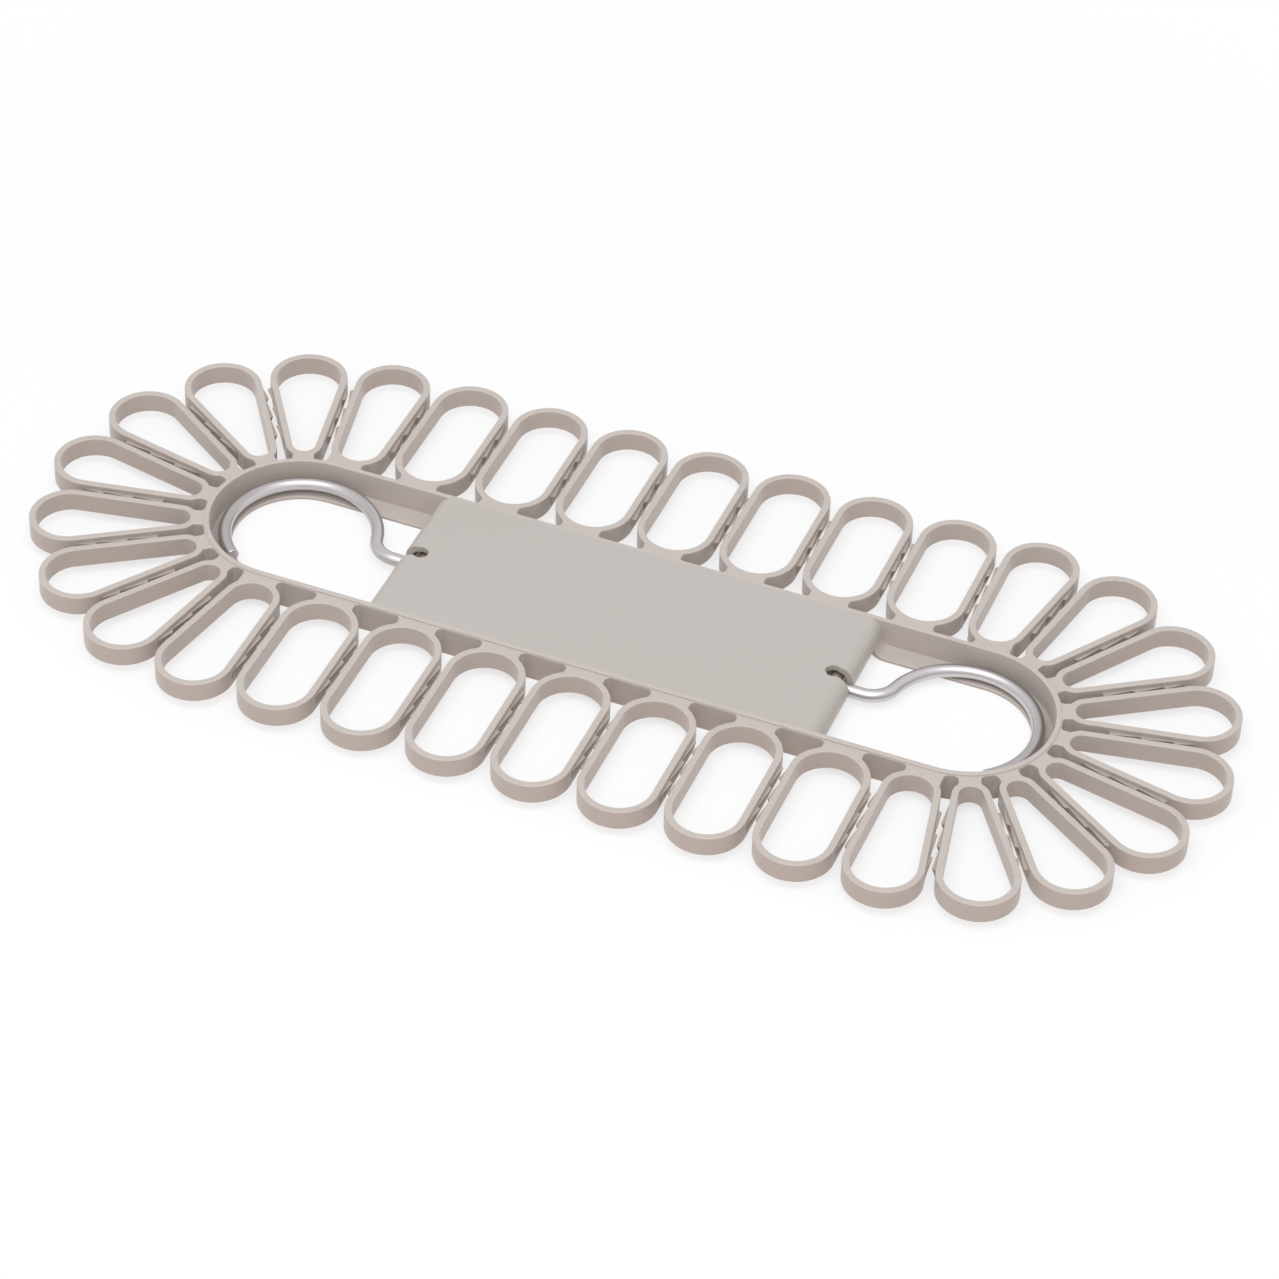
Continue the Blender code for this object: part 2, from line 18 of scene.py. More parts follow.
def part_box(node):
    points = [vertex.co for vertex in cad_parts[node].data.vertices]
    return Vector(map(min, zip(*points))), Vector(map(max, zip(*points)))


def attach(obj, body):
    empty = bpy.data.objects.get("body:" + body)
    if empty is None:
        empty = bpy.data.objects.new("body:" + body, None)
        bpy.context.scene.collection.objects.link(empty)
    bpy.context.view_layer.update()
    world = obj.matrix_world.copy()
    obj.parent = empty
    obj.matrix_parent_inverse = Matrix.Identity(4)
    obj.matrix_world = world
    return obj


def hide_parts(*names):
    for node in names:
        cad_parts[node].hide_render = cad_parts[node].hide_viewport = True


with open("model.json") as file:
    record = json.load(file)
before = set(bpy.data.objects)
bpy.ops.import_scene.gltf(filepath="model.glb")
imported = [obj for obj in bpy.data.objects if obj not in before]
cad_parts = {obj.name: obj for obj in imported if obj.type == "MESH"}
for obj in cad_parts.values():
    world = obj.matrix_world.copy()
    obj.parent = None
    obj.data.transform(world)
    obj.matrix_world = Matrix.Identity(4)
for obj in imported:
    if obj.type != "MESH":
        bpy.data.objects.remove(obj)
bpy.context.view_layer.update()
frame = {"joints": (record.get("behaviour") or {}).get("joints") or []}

# Camera, as in the photograph
LOOK_AT = Vector((0.008405, -0.009060, 0.0089))
CAMERA_DISTANCE = 1.32542
CAMERA_AZIMUTH = math.radians(20.60)
CAMERA_ELEVATION = math.radians(41.16)
CAMERA_ROLL = math.radians(2.19)
CAMERA_LENS = 130.46
CAMERA_SENSOR = 36.0
CAMERA_CLIP = (0.05, 20.0)

# Sizes taken from the frame
RAIL_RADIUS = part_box("right_rail_end")[1].y
RAIL_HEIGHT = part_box("right_rail_end")[1].z
END_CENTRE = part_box("right_rail_end")[1].x - RAIL_RADIUS
LOOP_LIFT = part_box("front_loop_5")[0].z
LOOP_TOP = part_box("front_loop_5")[1].z
LOOP_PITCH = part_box("front_loop_6")[0].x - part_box("front_loop_5")[0].x
PLATE_HALF_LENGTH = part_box("centre_plate")[1].x
SKIRT_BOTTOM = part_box("centre_plate")[0].z
PIVOTS = {joint["child"]: Vector(joint["pos_m"]) for joint in frame["joints"]}

# Rail: wall, and the lip that stands above the loops and is set back there
RAIL_WALL = 0.0018
RAIL_INNER_RADIUS = RAIL_RADIUS - RAIL_WALL
LIP_SETBACK = 0.0003
LIP_ROUND = 0.0004
LIP_STEP_DROP = 0.00003
RAIL_EDGE_ROUND = 0.0003
FLUSH_EDGE_ROUND = 0.00002

# Hairpin loops
LOOPS_PER_SIDE = 9
LOOPS_PER_END = 7
LOOP_GAP = 0.00274
LOOP_WALL = 0.00202
LOOP_EDGE_ROUND = 0.0003
SIDE_STANDOFF = 0.00134
SIDE_LENGTH = 0.0500
END_STANDOFF = 0.00173
END_LENGTH = 0.04924
SIDE_LAND_SHARE = 0.516
END_LAND_SHARE = 0.582
CORNER_LAND_SHARE = 0.788
LAND_FILLET = 0.0013
LAND_BITE = 0.0005
HALF_SIDE = (LOOPS_PER_SIDE - 1) / 2 * LOOP_PITCH
END_CENTRE_INSET = HALF_SIDE - END_CENTRE
END_STEP = math.pi / (LOOPS_PER_END + 1)
END_LEAN = END_STEP / 2

# Saw teeth: rail_side teeth have their steep flank toward the rail, tip_side teeth toward the tip
TEETH = 3
TOOTH_PITCH = 0.0091
TOOTH_HEIGHT = 0.00125
TOOTH_VALLEY = 0.00025
TOOTH_STEEP = 0.0005
RAIL_SIDE_FIRST = 0.0136
TIP_SIDE_FIRST = 0.0181
TOOTH_DROP = 0.0015
TOOTH_DEPTH = 0.0030
TOOTH_RUNOUT = 0.0004
TOOTH_FOOT_SHARE = 0.2
TOOTH_MARGIN = 0.0003
TOOTH_BITE = 0.0005
TOOTH_PEAK_ROUND = 0.0005
TOOTH_EDGE_ROUND = 0.00016
# The next value is the share of painted shade on the tooth rows, brown as the shaded gaps between
# the loops.
TOOTH_SHADE = 0.85

# Ledges inside the end windows
LEDGE_THICKNESS = 0.00115
LEDGE_WIDTH = 0.0063
LEDGE_EDGE_ROUND = 0.0003
LEDGE_BITE = 0.0004
RAMP_RADIUS = 0.00325

# Centre plate with its keyholes, and the ribs and clips under it
PLATE_THICKNESS = 0.0020
PLATE_UNDERSIDE = RAIL_HEIGHT - PLATE_THICKNESS
ROLL_RADIUS = 0.0045
SKIRT_INNER = PLATE_HALF_LENGTH - PLATE_THICKNESS
RIB_BITE = 0.0004
KEYHOLE_RADIUS = 0.0024
SLOT_HALF_WIDTH = 0.0020
KEYHOLE_EDGE_ROUND = 0.00025
CLIP_OFFSET = 0.0050
CLIP_WIDTH = 0.0055
CLIP_DEPTH = 0.0026
CLIP_MOUTH = 0.0032
CLIP_MOUTH_FLARE = 0.0006
CLIP_EDGE_ROUND = 0.0002
OVERRUN = 0.002

# Wire hooks
WIRE_RADIUS = 0.00195
WIRE_CLEARANCE = 0.0003
WIRE_END_ROUND = 0.00025
FOOT_LENGTH = 0.0125
FOOT_BEND = 0.0032
STEM_LENGTH = 0.0088
NECK_BEND = 0.0082
EYE_CLEARANCE = 0.0018
EYE_DROP = 0.0001
TIP_ANGLE = math.radians(-52.0)
LEFT_TILT = math.radians(0.5)
EYE_RADIUS = RAIL_INNER_RADIUS - EYE_CLEARANCE - WIRE_RADIUS
NECK_RISE = math.sqrt((EYE_RADIUS + NECK_BEND) ** 2 - (NECK_BEND + EYE_DROP) ** 2)
EYE_DISTANCE = STEM_LENGTH + NECK_RISE
PIVOT_HEIGHT = PIVOTS["right_hook_wire"].z
REST_DROP = PIVOT_HEIGHT - WIRE_RADIUS - LEDGE_THICKNESS - WIRE_CLEARANCE
RIGHT_TILT = -math.asin(REST_DROP / (EYE_DISTANCE + EYE_RADIUS))

# Painted shade on the wire where it bears in its clip, brown as the shaded keyhole: the middle of
# it along the wire, and how far it spreads
SHADE_FROM_FOOT_END = 0.01025
SHADE_WITHIN = (0.0033, 0.0048)

# Facets
RAIL_END_STEPS = 96
TIP_STEPS = 36
ROOT_STEPS = 14
FILLET_STEPS = 6
ROUND_STEPS = 4
ROLL_STEPS = 16
RAMP_STEPS = 12
KEYHOLE_STEPS = 40
CLIP_STEPS = 28
WIRE_SIDES = 40
BEND_STEPS = 24
EYE_STEPS = 110
WIRE_END_STEPS = 3

# Edges sharper than the first are rounded where asked, and shading breaks at the second.
# FACE_WEIGHT says how far the large faces lead the normals.
ROUND_FROM = math.radians(50.0)
SHARP_FROM = math.radians(38.0)
FACE_WEIGHT = 80

# Convex edges get a painted highlight from the first of these angles on, and fully from the
# second.
# Those sharper than SEATED_FROM were left square, so they are seated and get none.
HIGHLIGHT_ANGLES = (math.radians(16.0), math.radians(28.0))
SEATED_FROM = math.radians(60.0)

# Limits in the mesh code: the reach of a mitre, the share of a line that a rounded corner may
# take, and how near two heights are the same
MITRE_LIMIT = 0.4
CORNER_SHARE = 0.45
SAME_HEIGHT = 1e-5

# Colours in sRGB, set so that the render reads as the photograph does
PLASTIC = (0.776, 0.742, 0.716)
PLASTIC_WARM = (0.772, 0.733, 0.704)
# The next colour is a painted highlight on the plastic's rounded edges.
PLASTIC_HIGHLIGHT = (0.840, 0.820, 0.800)
STEEL = (0.850, 0.832, 0.833)
# The next colour paints dark streaks along the wire that stand in for reflections.
STEEL_REFLECTION_STREAK = (0.700, 0.680, 0.682)
# The next colour is a painted highlight on the wire's rounded cut ends.
STEEL_HIGHLIGHT = (0.900, 0.890, 0.890)
# The next colour is painted shade, brown as the shaded gaps and the shaded keyhole.
SHADE_TONE = (0.700, 0.645, 0.595)
PLATE = (0.750, 0.727, 0.705)
PLATE_WARM = (0.743, 0.718, 0.694)
FLOOR = (0.990, 0.990, 0.988)
FLOOR_BOUNCE = (0.845, 0.772, 0.742)

# Finishes, painted highlight and painted shade: patches per metre, the noise values that count,
# and the bump's depth
ROUGHNESS_PATCHES = 45.0
HIGHLIGHT_PATCHES = 260.0
SHADE_PATCHES = 700.0
DRIFT_SPAN = (0.3, 0.7)
HIGHLIGHT_SPAN = (0.35, 0.65)
BUMP_HEIGHT = 0.00003
LINES_PER_METRE = 1800.0
LINE_STRETCH = (1.0, 1.0, 0.008)
# The next stretch draws out the painted reflection streaks along the wire.
STREAK_STRETCH = (1.0, 1.0, 0.012)

# Socket types of the shader groups, and the colour that their inputs start with
FLOAT = "NodeSocketFloat"
COLOUR = "NodeSocketColor"
VECTOR = "NodeSocketVector"
MID_GREY = (0.5, 0.5, 0.5, 1.0)

# Floor, sky and lamp. The light colours are linear.
FLOOR_HALF = 3.0
FLOOR_GLOW = 0.68
SHADOW_REACH = (0.21, 0.40)
SKY_LIGHT = (0.915, 0.895, 0.878)
SKY_STRENGTH = 0.68
LAMP_HEIGHT = 1.5
LAMP_SIZE = 1.4
LAMP_POWER = 15.5
LAMP_PLACE = (0.08, -0.62)
LAMP_LIGHT = (0.95, 0.99, 1.04)

Side = namedtuple("Side", "lean offset land_share face_centre teeth")
Circle = namedtuple("Circle", "x y radius")


def linear(srgb):
    """Linear colour with alpha for a colour written in sRGB."""
    channels = [c / 12.92 if c <= 0.04045 else ((c + 0.055) / 1.055) ** 2.4 for c in srgb]
    return (*channels, 1.0)


def arc(centre, radius, start, end, steps):
    """Points on an arc, both ends included."""
    angles = [start + (end - start) * step / steps for step in range(steps + 1)]
    return [(centre[0] + radius * math.cos(a), centre[1] + radius * math.sin(a)) for a in angles]


def mirrored(points):
    return [(-x, y) for x, y in points]


def without_doubles(points, tolerance=1e-7):
    """The closed outline without points that repeat the one before them."""
    kept = []
    for point in points:
        if not kept or math.dist(point, kept[-1]) > tolerance:
            kept.append(point)
    if math.dist(kept[0], kept[-1]) <= tolerance:
        kept.pop()
    return kept


def offset_outline(points, distance):
    """A closed outline moved to its left by distance, corners mitred."""
    moved = []
    for index, here in enumerate(points):
        before = Vector(points[index - 1])
        after = Vector(points[(index + 1) % len(points)])
        here = Vector(here)
        one = (here - before).normalized()
        two = (after - here).normalized()
        left = Vector((-one.y - two.y, one.x + two.x))
        if left.length < 1e-9:
            left = Vector((-one.y, one.x))
        left.normalize()
        reach = max(left.dot(Vector((-one.y, one.x))), MITRE_LIMIT)
        moved.append(tuple(here + left * (distance / reach)))
    return moved


def anticlockwise(points):
    area = sum(a[0] * b[1] - b[0] * a[1] for a, b in zip(points, points[1:] + points[:1]))
    return points if area > 0 else points[::-1]


def rounding(radius, steps=ROUND_STEPS):
    """Inset and drop of a rounded top edge, from the wall up to the flat."""
    turns = [math.pi / 2 * step / steps for step in range(steps + 1)]
    return [(radius * (1 - math.cos(turn)), radius * (1 - math.sin(turn))) for turn in turns]


def bridge(mesh_builder, one, two):
    """Quads between two closed rings with as many points each."""
    for index in range(len(one)):
        mesh_builder.faces.new((one[index - 1], one[index], two[index], two[index - 1]))


def mark_highlight_edges(mesh):
    """Writes how strongly each point lies on a rounded edge, for the painted highlight in the
    materials.

    Edges left square are seated against a neighbour, and get no highlight.
    """
    builder = bmesh.new()
    builder.from_mesh(mesh)
    low, high = HIGHLIGHT_ANGLES
    values = np.zeros(len(builder.verts), np.float32)
    for edge in builder.edges:
        if len(edge.link_faces) != 2 or not edge.is_convex:
            continue
        turn = edge.calc_face_angle(0.0)
        if turn > SEATED_FROM:
            continue
        sharpness = (turn - low) / (high - low)
        share = min(max(sharpness, 0.0), 1.0)
        for corner in edge.verts:
            values[corner.index] = max(values[corner.index], share)
    builder.free()
    mesh.attributes.new("edge_highlight", "FLOAT", "POINT").data.foreach_set("value", values)


def plain_object(name, builder):
    """Turns a mesh under construction into an object in the scene."""
    bmesh.ops.recalc_face_normals(builder, faces=builder.faces)
    mesh = bpy.data.meshes.new(name)
    builder.to_mesh(mesh)
    builder.free()
    item = bpy.data.objects.new(name, mesh)
    bpy.context.scene.collection.objects.link(item)
    return item


def add_piece(name, builder, surface, body, nodes, place=None):
    """Turns a mesh under construction into a piece that stands for its CAD nodes."""
    piece = plain_object(f"finished_{name}", builder)
    mesh = piece.data
    if place is not None:
        mesh.transform(place)
    mesh.materials.append(surface)
    mesh.shade_smooth()
    mesh.set_sharp_from_angle(angle=SHARP_FROM)
    # Rounded edges get a painted highlight in the materials.
    mark_highlight_edges(mesh)
    even = piece.modifiers.new("even_normals", "WEIGHTED_NORMAL")
    even.weight = FACE_WEIGHT
    even.keep_sharp = True
    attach(piece, body)
    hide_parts(*nodes)


def add_moulded(name, builder, surface, nodes=None, place=None):
    """A piece of the moulding. With no nodes given, it stands for the node of its name."""
    add_piece(name, builder, surface, "rack", nodes or (name,), place)


def sweep(builder, sections, closed):
    """Skin through a row of closed sections with as many points each."""
    rings = [[builder.verts.new(point) for point in section] for section in sections]
    for one, two in zip(rings, rings[1:]):
        bridge(builder, one, two)
    if closed:
        bridge(builder, rings[-1], rings[0])
    else:
        builder.faces.new(rings[0])
        builder.faces.new(rings[-1])


def prism(builder, outline, start, end, plane="xz"):
    """Closed solid from an outline, extruded from start to end."""
    if plane == "xz":
        ends = [[(a, level, b) for a, b in outline] for level in (start, end)]
    else:
        ends = [[(a, b, level) for a, b in outline] for level in (start, end)]
    sweep(builder, ends, closed=False)


def round_edges(builder, radius, keep, segments=3):
    """Rounds the sharp edges that keep(edge) picks."""
    builder.edges.ensure_lookup_table()
    picked = [
        edge
        for edge in builder.edges
        if len(edge.link_faces) == 2 and edge.calc_face_angle(0.0) > ROUND_FROM and keep(edge)
    ]
    bmesh.ops.bevel(
        builder,
        geom=picked,
        offset=radius,
        offset_type="OFFSET",
        segments=segments,
        profile=0.5,
        affect="EDGES",
        clamp_overlap=True,
    )


def rail_section(inner_round):
    """Radius and height round the rail's wall, from its inner foot."""
    lip = RAIL_RADIUS - LIP_SETBACK
    step = LOOP_TOP - LIP_STEP_DROP
    section = [(RAIL_INNER_RADIUS + i, d) for i, d in rounding(RAIL_EDGE_ROUND)]
    section += [(RAIL_RADIUS - i, d) for i, d in reversed(rounding(RAIL_EDGE_ROUND))]
    section += [(RAIL_RADIUS, step), (lip, step)]
    section += [(lip - i, RAIL_HEIGHT - d) for i, d in rounding(LIP_ROUND)]
    section += [
        (RAIL_INNER_RADIUS + i, RAIL_HEIGHT - d) for i, d in reversed(rounding(inner_round))
    ]
    return section


def build_rail(surface):
    """The long ring. Where the plate meets it, its inner top edge is flush instead of round."""
    flush_to = PLATE_HALF_LENGTH - ROLL_RADIUS
    round_from = flush_to + 2 * LIP_ROUND
    straight = [
        (END_CENTRE, RAIL_EDGE_ROUND),
        (round_from, RAIL_EDGE_ROUND),
        (flush_to, FLUSH_EDGE_ROUND),
    ]
    straight += [(-x, inner_round) for x, inner_round in reversed(straight)]
    sections = []
    for end in (1, -1):
        stations = [(-end * x, 0, -end, inner_round) for x, inner_round in straight]
        for step in range(1, RAIL_END_STEPS):
            angle = -end * math.pi / 2 + math.pi * step / RAIL_END_STEPS
            stations.append((end * END_CENTRE, math.cos(angle), math.sin(angle), RAIL_EDGE_ROUND))
        for x, across, along, inner_round in stations:
            sections.append(
                [(x + r * across, r * along, height) for r, height in rail_section(inner_round)]
            )
    builder = bmesh.new()
    sweep(builder, sections, closed=True)
    nodes = ("front_rail", "rear_rail", "left_rail_end", "right_rail_end")
    add_moulded("rail", builder, surface, nodes)


def ledge_section(inner, outer):
    """Points round a ledge. inner and outer are in plan, and its inner edges are rounded."""
    inward = (Vector(inner) - Vector(outer)).normalized()
    edge = [
        (*(Vector(inner) - inward * inset), drop) for inset, drop in rounding(LEDGE_EDGE_ROUND)
    ]
    points = [(*outer, 0), *reversed(edge)]
    points += [(x, y, LEDGE_THICKNESS - drop) for x, y, drop in edge]
    points.append((*outer, LEDGE_THICKNESS))
    return points


def ramp_section(top, under, inner, outer):
    """As ledge_section, on the ramp from the ledge up to the skirt of the plate."""
    side = 1 if outer > inner else -1
    points = [(under[0], outer, under[1])]
    edge = rounding(LEDGE_EDGE_ROUND)
    drop_to = (under[0] - top[0], under[1] - top[1])
    length = math.hypot(*drop_to)
    down = (drop_to[0] / length, drop_to[1] / length)
    for inset, drop in reversed(edge):
        spot = (under[0] - down[0] * drop, under[1] - down[1] * drop)
        points.append((spot[0], inner + side * inset, spot[1]))
    for inset, drop in edge:
        spot = (top[0] + down[0] * drop, top[1] + down[1] * drop)
        points.append((spot[0], inner + side * inset, spot[1]))
    points.append((top[0], outer, top[1]))
    return points


def build_ledges(surface):
    """Flange round the inside of each end window, ramped up to the skirt of the plate."""
    outer = RAIL_INNER_RADIUS + LEDGE_BITE
    inner = RAIL_INNER_RADIUS - LEDGE_WIDTH
    ramp_x = PLATE_HALF_LENGTH + RAMP_RADIUS
    ramp_z = LEDGE_THICKNESS + RAMP_RADIUS
    leg = []
    for step in range(RAMP_STEPS + 1):
        angle = math.pi / 2 * step / RAMP_STEPS
        top = (ramp_x - RAMP_RADIUS * math.cos(angle), ramp_z - RAMP_RADIUS * math.sin(angle))
        under = (
            ramp_x - (ramp_x - SKIRT_INNER) * math.cos(angle),
            ramp_z * (1 - math.sin(angle)),
        )
        leg.append((top, under))
    sections = [ramp_section(top, under, inner, outer) for top, under in leg[:-1]]
    sections.append(ledge_section((ramp_x, inner), (ramp_x, outer)))
    for step in range(RAIL_END_STEPS + 1):
        angle = math.pi / 2 - math.pi * step / RAIL_END_STEPS
        across = math.cos(angle)
        along = math.sin(angle)
        near = (END_CENTRE + inner * across, inner * along)
        far = (END_CENTRE + outer * across, outer * along)
        sections.append(ledge_section(near, far))
    sections.append(ledge_section((ramp_x, -inner), (ramp_x, -outer)))
    sections += [ramp_section(top, under, -inner, -outer) for top, under in reversed(leg[:-1])]
    for name, turn in (("right_ledge", 0.0), ("left_ledge", math.pi)):
        builder = bmesh.new()
        sweep(builder, sections, closed=False)
        spin = Matrix.Rotation(turn, 4, "Z")
        add_moulded(name, builder, surface, place=spin)


def plate_outline():
    """The plate from the side: flat top, rolled ends and short skirts."""
    roll = (PLATE_HALF_LENGTH - ROLL_RADIUS, RAIL_HEIGHT - ROLL_RADIUS)
    outer = arc(roll, ROLL_RADIUS, 0, math.pi / 2, ROLL_STEPS)
    inner = arc(roll, ROLL_RADIUS - PLATE_THICKNESS, 0, math.pi / 2, ROLL_STEPS)
    right = [(PLATE_HALF_LENGTH, SKIRT_BOTTOM)] + outer
    left = [(SKIRT_INNER, SKIRT_BOTTOM)] + inner
    return right + mirrored(right)[::-1] + mirrored(left) + left[::-1]


def keyhole_outline(side):
    """Round hole over the pivot, with a slot from it out through the skirt."""
    pivot = abs(PIVOTS["right_hook_wire"].x)
    mouth = math.asin(SLOT_HALF_WIDTH / KEYHOLE_RADIUS)
    points = arc((pivot, 0), KEYHOLE_RADIUS, mouth, 2 * math.pi - mouth, KEYHOLE_STEPS)
    points.append((PLATE_HALF_LENGTH + OVERRUN, -SLOT_HALF_WIDTH))
    points.append((PLATE_HALF_LENGTH + OVERRUN, SLOT_HALF_WIDTH))
    return [(side * x, y) for x, y in points]


def cut_out(blank_builder, cutter_builders):
    """The blank with the cutters taken out of it, as a mesh under construction."""
    blank = plain_object("blank", blank_builder)
    cutters = [plain_object("cutter", builder) for builder in cutter_builders]
    for cutter in cutters:
        cut = blank.modifiers.new("cut", "BOOLEAN")
        cut.operation = "DIFFERENCE"
        cut.solver = "EXACT"
        cut.object = cutter
    bpy.context.view_layer.update()
    evaluated = blank.evaluated_get(bpy.context.evaluated_depsgraph_get())
    builder = bmesh.new()
    builder.from_mesh(evaluated.to_mesh())
    evaluated.to_mesh_clear()
    for item in [blank] + cutters:
        mesh = item.data
        bpy.data.objects.remove(item)
        bpy.data.meshes.remove(mesh)
    return builder


def build_plate(surface):
    """The plate that bridges the rail, flush with it, with a keyhole at each end."""
    blank = bmesh.new()
    prism(blank, plate_outline(), -RAIL_INNER_RADIUS, RAIL_INNER_RADIUS)
    cutters = []
    for side in (-1, 1):
        cutter = bmesh.new()
        prism(cutter, keyhole_outline(side), 0, RAIL_HEIGHT + OVERRUN, plane="xy")
        cutters.append(cutter)
    builder = cut_out(blank, cutters)
    at_rail = RAIL_INNER_RADIUS - KEYHOLE_EDGE_ROUND

    def free(edge):
        return all(abs(corner.co.y) < at_rail for corner in edge.verts)

    def skirt_foot(edge):
        return all(corner.co.z < SKIRT_BOTTOM + KEYHOLE_EDGE_ROUND for corner in edge.verts)

    round_edges(builder, KEYHOLE_EDGE_ROUND, lambda edge: free(edge) or skirt_foot(edge))
    add_moulded("centre_plate", builder, surface)


def build_ribs(surface):
    """Cross ribs under the plate, from one side of the rail to the other."""
    for place in ("left", "middle", "right"):
        node = f"{place}_plate_rib"
        low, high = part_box(node)
        outline = [
            (low.x, low.z),
            (high.x, low.z),
            (high.x, PLATE_UNDERSIDE + RIB_BITE),
            (low.x, PLATE_UNDERSIDE + RIB_BITE),
        ]
        builder = bmesh.new()
        prism(builder, outline, -RAIL_INNER_RADIUS - RIB_BITE, RAIL_INNER_RADIUS + RIB_BITE)
        round_edges(
            builder,
            CLIP_EDGE_ROUND,
            lambda edge, foot=low.z + SAME_HEIGHT: all(end.co.z < foot for end in edge.verts),
        )
        add_moulded(node, builder, surface)


def clip_outline():
    """C-shaped clip from the side, open at the bottom, running up into the plate."""
    pivot = abs(PIVOTS["right_hook_wire"].x)
    notch_radius = WIRE_RADIUS + WIRE_CLEARANCE
    outside = SKIRT_INNER + RIB_BITE
    inside = 2 * pivot - SKIRT_INNER
    bottom = PIVOT_HEIGHT - CLIP_DEPTH
    top = PLATE_UNDERSIDE + RIB_BITE
    flare = CLIP_MOUTH / 2 + CLIP_MOUTH_FLARE
    mouth = math.asin(CLIP_MOUTH / 2 / notch_radius)
    start = -math.pi / 2 - mouth
    end = -math.pi * 5 / 2 + mouth
    shoulder = RAIL_HEIGHT - ROLL_RADIUS
    outline = [(outside, bottom), (outside, shoulder), (PLATE_HALF_LENGTH - ROLL_RADIUS, top)]
    outline += [(inside, top), (inside, bottom), (pivot - flare, bottom)]
    outline += arc((pivot, PIVOT_HEIGHT), notch_radius, start, end, CLIP_STEPS)
    outline.append((pivot + flare, bottom))
    return outline


def build_clips(surface):
    """The clips that hold the feet of the hooks under the plate."""
    for node, side in (("left_hook_clip", -1), ("right_hook_clip", 1)):
        outline = [(side * x, z) for x, z in clip_outline()]
        builder = bmesh.new()
        prism(builder, outline, CLIP_OFFSET, CLIP_OFFSET + CLIP_WIDTH)
        round_edges(
            builder,
            CLIP_EDGE_ROUND,
            lambda edge: all(corner.co.z < PLATE_UNDERSIDE for corner in edge.verts),
        )
        add_moulded(node, builder, surface)


def touching_circle(right, left, limit, outward):
    """Circle that touches both flanks and the line across the loop at limit."""
    rows = [
        (math.cos(right.lean), -math.sin(right.lean), 1),
        (-math.cos(left.lean), -math.sin(left.lean), 1),
        (0, 1, outward),
    ]
    x, y, radius = np.linalg.solve(np.array(rows), np.array([right.offset, left.offset, limit]))
    return Circle(float(x), float(y), float(radius))


def reversed_side(circle):
    return Circle(-circle.x, circle.y, circle.radius)


def land_outline(side, root):
    """From inside the rail's wall out to the start of the flank, on the right side."""
    fillet_x = root.x + side.land_share * root.radius + LAND_FILLET
    if side.face_centre is None:
        foot = RAIL_RADIUS + LAND_FILLET
        foot_angle = -math.pi / 2
    else:
        foot = math.sqrt((RAIL_RADIUS + LAND_FILLET) ** 2 - (fillet_x - side.face_centre) ** 2)
        foot_angle = math.atan2(foot, fillet_x - side.face_centre) - math.pi
    points = arc((fillet_x, foot), LAND_FILLET, foot_angle, -math.pi, FILLET_STEPS)
    points.insert(0, (points[0][0], points[0][1] - LAND_BITE))
    reach = root.radius + LAND_FILLET
    head = root.y - math.sqrt(reach**2 - (fillet_x - root.x) ** 2)
    lean = math.atan2(root.y - head, root.x - fillet_x)
    points += arc((fillet_x, head), LAND_FILLET, math.pi, lean, FILLET_STEPS)
    middle = (root.x, root.y)
    points += arc(middle, root.radius, lean - math.pi, -side.lean, ROOT_STEPS)[1:]
    return points


def rounded_corners(points, radius, steps=3):
    """An open line with an arc of about that radius in place of each corner."""
    result = [points[0]]
    for before, here, after in zip(points, points[1:], points[2:]):
        here = Vector(here)
        one = Vector(before) - here
        two = Vector(after) - here
        half = one.angle(two) / 2
        longest = CORNER_SHARE * min(one.length, two.length)
        cut = min(radius / math.tan(half), longest)
        start = here + one.normalized() * cut
        end = here + two.normalized() * cut
        for step in range(steps + 1):
            share = step / steps
            bend = start.lerp(here, share).lerp(here.lerp(end, share), share)
            result.append(tuple(bend))
    result.append(points[-1])
    return result


def saw_profile(teeth, limit):
    """Distances from the rail's centre line along the flank, each with the height there."""
    fall = TOOTH_PITCH - TOOTH_STEEP
    before, after = (TOOTH_STEEP, fall) if teeth == "rail_side" else (fall, TOOTH_STEEP)
    first = RAIL_RADIUS + (RAIL_SIDE_FIRST if teeth == "rail_side" else TIP_SIDE_FIRST)
    peaks = [first + index * TOOTH_PITCH for index in range(TEETH)]
    profile = [(peaks[0] - before, 0.0)]
    for peak in peaks:
        profile.append((peak, TOOTH_HEIGHT))
        profile.append((peak + after, TOOTH_VALLEY))
    profile[-1] = (min(peaks[-1] + after, limit - TOOTH_MARGIN), 0.0)
    return rounded_corners(profile, TOOTH_PEAK_ROUND)


